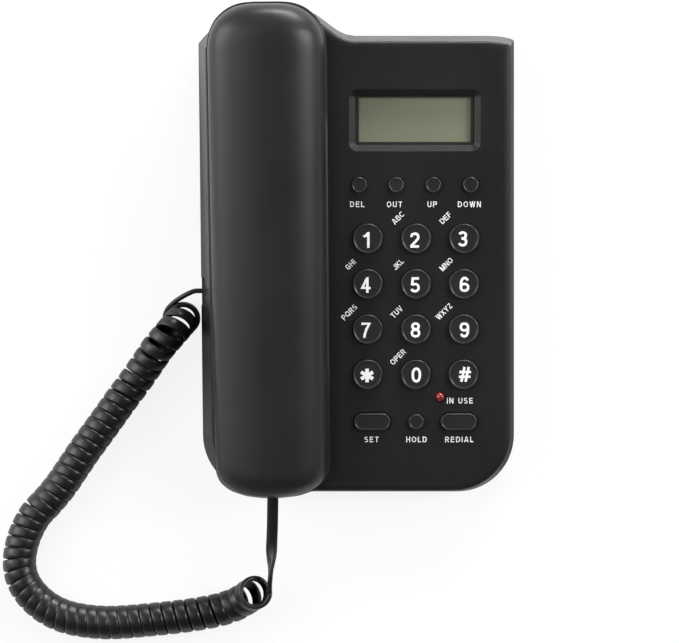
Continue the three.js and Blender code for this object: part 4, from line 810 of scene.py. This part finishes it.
# The ends' rounding. Each row is the share of it passed from the tip inwards, then the
# shares of the half width, the crown's height and the cup's depth that are reached there.
MOUTH_TABLE = [
    (0.035, 0.2, 0.36, 0.1), (0.05, 0.34, 0.46, 0.14), (0.075, 0.45, 0.55, 0.2),
    (0.115, 0.54, 0.64, 0.25), (0.155, 0.615, 0.72, 0.29), (0.23, 0.735, 0.81, 0.35),
    (0.41, 0.885, 0.93, 0.44), (0.62, 0.963, 0.99, 0.56), (0.86, 0.994, 1, 1), (1, 1, 1, 1),
]
EAR_TABLE = [
    (0, 0.24, 0.36, 0.1), (0.012, 0.37, 0.45, 0.14), (0.04, 0.48, 0.56, 0.2),
    (0.09, 0.59, 0.67, 0.26), (0.18, 0.71, 0.79, 0.33), (0.33, 0.838, 0.9, 0.4),
    (0.5, 0.922, 0.975, 0.48), (0.65, 0.966, 0.995, 0.6), (0.83, 0.992, 1, 1), (1, 1, 1, 1),
]

# The flanks below the seam, as shares of the half width and of the depth
FLANK_TABLE = [(1, 0), (0.97, 0.15), (0.9, 0.44), (0.84, 0.75), (0.79, 0.93), (0.72, 1)]

handset_place = (
    panel_place @ Matrix.Translation((HANDSET_X * mm, HANDSET_U * mm, SEAM_HEIGHT * mm))
    @ Matrix.Rotation(HANDSET_TURN, 4, "Z"))

# The handset's black is satin, worn a little smoother than the case by the hand
handset_abs = grained_finish("satin_ABS", "#1b1b1c", "#202021", 0.38, 0.45, 0.04, ior=1.45)


def end_stations(inset, table, rounding):
    """Rows from one end of the handset to the grip: place, half width, crown height, depth."""
    half = HANDSET_LENGTH / 2
    crown, cup, grip = CROWN_HEIGHT - inset, CUP_DEPTH - inset, GRIP_DEPTH - inset
    rows = []
    for row in smooth_line([Vector(row) for row in table], TABLE_STEPS):
        rows.append((half - inset - row[0] * rounding, row[1], row[2] * crown, row[3] * cup))
    rows.append((half - CUP_LENGTH, 1, crown, cup))
    for step in range(1, CUP_SLOPE_STEPS + 1):
        share = step / CUP_SLOPE_STEPS
        depth = cup + (grip - cup) * eased(share)
        rows.append((half - CUP_LENGTH - CUP_SLOPE * share, 1, crown, depth))
    return rows


def handset_stations(inset):
    mouth = [(-row[0], *row[1:]) for row in end_stations(inset, MOUTH_TABLE, MOUTH_ROUNDING)]
    return mouth + end_stations(inset, EAR_TABLE, EAR_ROUNDING)[::-1]


def handset_skin(inset):
    """The whole outside of the handset, lofted from end to end, or a skin inside it."""
    bm = bmesh.new()
    flanks = smooth_line([Vector((x, z, 0)) for x, z in FLANK_TABLE], TABLE_STEPS)
    loops = []
    for place, share, rise, sink in handset_stations(inset):
        width = HANDSET_FRONT_WIDTH + (HANDSET_BACK_WIDTH - HANDSET_FRONT_WIDTH) * (
            place / HANDSET_LENGTH + 0.5)
        half = share * width / 2 - inset
        section = [(half * p.x, -sink * p.y) for p in flanks]
        section += [(-half * p.x, -sink * p.y) for p in reversed(flanks)]
        for step in range(1, CROWN_STEPS):
            angle = math.pi * (1 - step / CROWN_STEPS)
            across = signed_power(math.cos(angle), 2 / CROWN_POWER)
            section.append((half * across, rise * math.sin(angle) ** (2 / CROWN_POWER)))
        circle = bmesh.ops.create_circle(bm, segments=len(section), radius=mm)["verts"]
        for vert, (x, z) in zip(circle, section):
            vert.co = (x * mm, place * mm, z * mm)
        loops.append(circle)
    for loop, following in zip(loops, loops[1:]):
        edges = [e for e in bm.edges if all(v in loop for v in e.verts)
                 or all(v in following for v in e.verts)]
        bmesh.ops.bridge_loops(bm, edges=edges)
    for loop in (loops[0], loops[-1]):
        bmesh.ops.contextual_create(bm, geom=loop)
    bmesh.ops.recalc_face_normals(bm, faces=bm.faces)
    return bm


def half_shell(name, inset, upper):
    """The part of the skin above or below the seam, with a modifier that gives it its wall."""
    bm = handset_skin(inset)
    cut = SEAM_GAP / 2 * mm * (1 if upper else -1)
    bmesh.ops.bisect_plane(bm, geom=bm.verts[:] + bm.edges[:] + bm.faces[:],
                           dist=CUT_TOLERANCE, plane_co=(0, 0, cut), plane_no=(0, 0, 1),
                           clear_inner=upper, clear_outer=not upper)
    piece = shown(finished_mesh(bm, name), name, handset_abs)
    wall = piece.modifiers.new("wall", "SOLIDIFY")
    wall.thickness = SHELL_WALL * mm
    wall.offset = -1
    wall.use_even_offset = True
    return piece


def settled(piece):
    """Applies a piece's modifiers to its mesh."""
    bpy.context.view_layer.update()
    graph = bpy.context.evaluated_depsgraph_get()
    mesh = bpy.data.meshes.new_from_object(piece.evaluated_get(graph))
    piece.modifiers.clear()
    piece.data = mesh
    return piece


# The ear cup's sound holes: the radius of each ring, its number of holes and their radius
GRILLE_RINGS = [(0, 1, 1.1), (4.5, 6, 1.1), (8.6, 12, 1.1)]
EAR_MIDDLE = 71.75
MOUTH_MIDDLE = -73.75
SLOT_PLACES = (-4, 0, 4)
SLOT_SIZE = (1.3, 8, 8)
SCREW_PLACES = (24, -24)
SCREW_HEAD_RADIUS = 2.7
SCREW_HEAD_DEPTH = 2.2
JACK_OPENING = (8, 9, 6.8)
JACK_DROP = 3.7
TOOL_EXCESS = 1
TOOL_DEPTH = 10
HOLE_FACETS = 20


def face_tools():
    """The cutters that open the face shell from below and at its mouth end."""
    bm = bmesh.new()
    posts = [(radius, ring * math.cos(2 * math.pi * index / count),
              EAR_MIDDLE + ring * math.sin(2 * math.pi * index / count), -CUP_DEPTH)
             for ring, count, radius in GRILLE_RINGS for index in range(count)]
    posts += [(SCREW_HEAD_RADIUS, 0, place, -GRIP_DEPTH + SCREW_HEAD_DEPTH - TOOL_DEPTH / 2)
              for place in SCREW_PLACES]
    for radius, x, y, z in posts:
        bmesh.ops.create_cone(bm, cap_ends=True, segments=HOLE_FACETS, radius1=radius,
                              radius2=radius, depth=TOOL_DEPTH,
                              matrix=Matrix.Translation((x, y, z)))
    blocks = [(SLOT_SIZE, x, MOUTH_MIDDLE, -CUP_DEPTH) for x in SLOT_PLACES]
    blocks.append((JACK_OPENING, 0, -HANDSET_LENGTH / 2 + JACK_OPENING[1] / 2 - TOOL_EXCESS,
                   -JACK_DROP))
    for size, x, y, z in blocks:
        bmesh.ops.create_cube(bm, size=1, matrix=Matrix.Translation((x, y, z))
                              @ Matrix.Diagonal((*size, 1)))
    bmesh.ops.scale(bm, verts=bm.verts, vec=(mm, mm, mm))
    return shown(finished_mesh(bm, "face_tools"), "face_tools", handset_abs)


outer_shell = settled(half_shell("handset_outer_shell", SHELL_RIM, True))
outer_shell.data.transform(Matrix.Translation((-SHELL_SHIFT * mm, 0, 0)))
face_shell = half_shell("handset_face_shell", 0, False)
tools = face_tools()
holes = face_shell.modifiers.new("holes", "BOOLEAN")
holes.object = tools
holes.solver = "EXACT"
face_shell = settled(face_shell)
bpy.data.objects.remove(tools)
for piece, node in ((outer_shell, "handset_shell"), (face_shell, "handset_face")):
    piece.data.transform(handset_place)
    piece.data.set_sharp_from_angle(angle=SEAM_CREASE)
    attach(piece, "handset")
    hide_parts(node)


# The table is white and the studio round it is pale at the horizon and darker overhead.
# A wide soft lamp stands far behind the telephone, with weaker ones to its left and right.

SHADOW_SHARE = 0.13
# The middle and size of a painted shade on the table to the right of the telephone, and how dark it
# is
PAINTED_SHADE_MIDDLE = (160 * mm, -30 * mm)
PAINTED_SHADE_SIZE = (190 * mm, 250 * mm)
PAINTED_SHADE_TONE = 0.35
TABLE_REACH = 4
TABLE_TONE = (0.5, 0.5, 0.5, 1)
BLACK = (0, 0, 0, 1)
WHITE = (1, 1, 1, 1)

bm = bmesh.new()
bmesh.ops.create_grid(bm, x_segments=1, y_segments=1, size=TABLE_REACH)
table_mesh = bpy.data.meshes.new("table")
bm.to_mesh(table_mesh)
bm.free()

# The backdrop is an even matt white with faint shadows, so most of it glows by itself.
# Seen or mirrored it is white, but it lights the telephone only as a grey table would.
white, tree = material_named("white_table")
ray = add_node(tree, "ShaderNodeLightPath")
seen = add_node(tree, "ShaderNodeMath", {"operation": "MAXIMUM"},
                {0: ray.outputs["Is Camera Ray"], 1: ray.outputs["Is Glossy Ray"]})
either = add_node(tree, "ShaderNodeMath", {"operation": "MAXIMUM"},
                  {0: seen.outputs[0], 1: ray.outputs["Is Transmission Ray"]})
tone = add_node(tree, "ShaderNodeMix", {"data_type": "RGBA"}, {"Factor": either.outputs[0]},
                A=TABLE_TONE, B=WHITE)

# A painted shade darkens the table to the right of the telephone for every ray but the camera's, so
# the walls on the right mirror a darker table and get less light from it
place = add_node(tree, "ShaderNodeTexCoord").outputs["Object"]
parts = add_node(tree, "ShaderNodeSeparateXYZ", links={"Vector": place})
painted_shade_sides = []
for axis, middle, width in zip("XY", PAINTED_SHADE_MIDDLE, PAINTED_SHADE_SIZE):
    side = add_node(tree, "ShaderNodeMath", {"operation": "COMPARE"}, {0: parts.outputs[axis]})
    side.inputs[1].default_value = middle
    side.inputs[2].default_value = width / 2
    painted_shade_sides.append(side.outputs[0])
inside = add_node(tree, "ShaderNodeMath", {"operation": "MULTIPLY"}, dict(enumerate(painted_shade_sides)))
painted_shade = add_node(tree, "ShaderNodeMapRange", links={"Value": inside.outputs[0]},
                To_Min=1, To_Max=PAINTED_SHADE_TONE)
kept = add_node(tree, "ShaderNodeMath", {"operation": "MAXIMUM"},
                {0: ray.outputs["Is Camera Ray"], 1: painted_shade.outputs["Result"]})
tone_under_painted_shade = add_node(tree, "ShaderNodeMix", {"data_type": "RGBA"},
                  {"Factor": kept.outputs[0], "B": tone.outputs["Result"]}, A=BLACK)
lit = add_node(tree, "ShaderNodeBsdfDiffuse", links={"Color": tone_under_painted_shade.outputs["Result"]})

# The camera sees the glow and a small share of the lit table, which holds the shadows
glow = add_node(tree, "ShaderNodeEmission", Strength=1)
shade = add_node(tree, "ShaderNodeMath", {"operation": "MULTIPLY"},
                 {0: ray.outputs["Is Camera Ray"]})
shade.inputs[1].default_value = 1 - SHADOW_SHARE
mixed = add_node(tree, "ShaderNodeMixShader", links={
    0: shade.outputs[0], 1: lit.outputs["BSDF"], 2: glow.outputs["Emission"]})
add_node(tree, "ShaderNodeOutputMaterial", links={"Surface": mixed.outputs["Shader"]})
table = shown(table_mesh, "table", white)

# The studio's walls are brightest at the horizon and behind, weaker in front and at the right
world = bpy.data.worlds.new("studio")
bpy.context.scene.world = world
world.use_nodes = True
tree = world.node_tree
tree.nodes.clear()
direction = add_node(tree, "ShaderNodeTexCoord").outputs["Generated"]
parts = add_node(tree, "ShaderNodeSeparateXYZ", links={"Vector": direction})
height = add_node(tree, "ShaderNodeMapRange", links={"Value": parts.outputs["Z"]},
                  From_Min=0.05, From_Max=0.9, To_Min=0.8, To_Max=0.2)
front = add_node(tree, "ShaderNodeMapRange", links={"Value": parts.outputs["Y"]},
                 From_Min=-0.8, From_Max=0.1, To_Min=0.35, To_Max=1)
right = add_node(tree, "ShaderNodeMapRange", links={"Value": parts.outputs["X"]},
                 From_Min=-0.2, From_Max=0.9, To_Min=1, To_Max=0.4)
around = add_node(tree, "ShaderNodeMath", {"operation": "MULTIPLY"},
                  {0: front.outputs["Result"], 1: right.outputs["Result"]})
strength = add_node(tree, "ShaderNodeMath", {"operation": "MULTIPLY"},
                    {0: height.outputs["Result"], 1: around.outputs[0]})
sky = add_node(tree, "ShaderNodeBackground", links={"Strength": strength.outputs[0]},
               Color=WHITE)
add_node(tree, "ShaderNodeOutputWorld", links={"Surface": sky.outputs["Background"]})

# Each lamp's place, the point it shines at, its width and height in metres, and its power
LAMPS = {
    "back_lamp": ((0.55, 1.75, 0.75), (0, 0, 0), (1.2, 0.45), 44),
    "left_lamp": ((-1.65, 0.4, 0.8), (0, 0, 0), (1.2, 1.2), 21),
    "right_lamp": ((1.12, 0.22, 1.0), (0.03, 0, 0), (0.35, 0.7), 12),
    "high_left_lamp": ((-0.9, 0.1, 1.5), (0, 0, 0), (1.2, 1.2), 6),
}
for name, (place, target, size, power) in LAMPS.items():
    light = bpy.data.lights.new(name, "AREA")
    light.shape = "RECTANGLE"
    light.size, light.size_y = size
    light.energy = power
    soft_lamp = bpy.data.objects.new(name, light)
    soft_lamp.location = place
    soft_lamp.rotation_euler = (Vector(target) - Vector(place)).to_track_quat("-Z", "Y").to_euler()
    bpy.context.scene.collection.objects.link(soft_lamp)
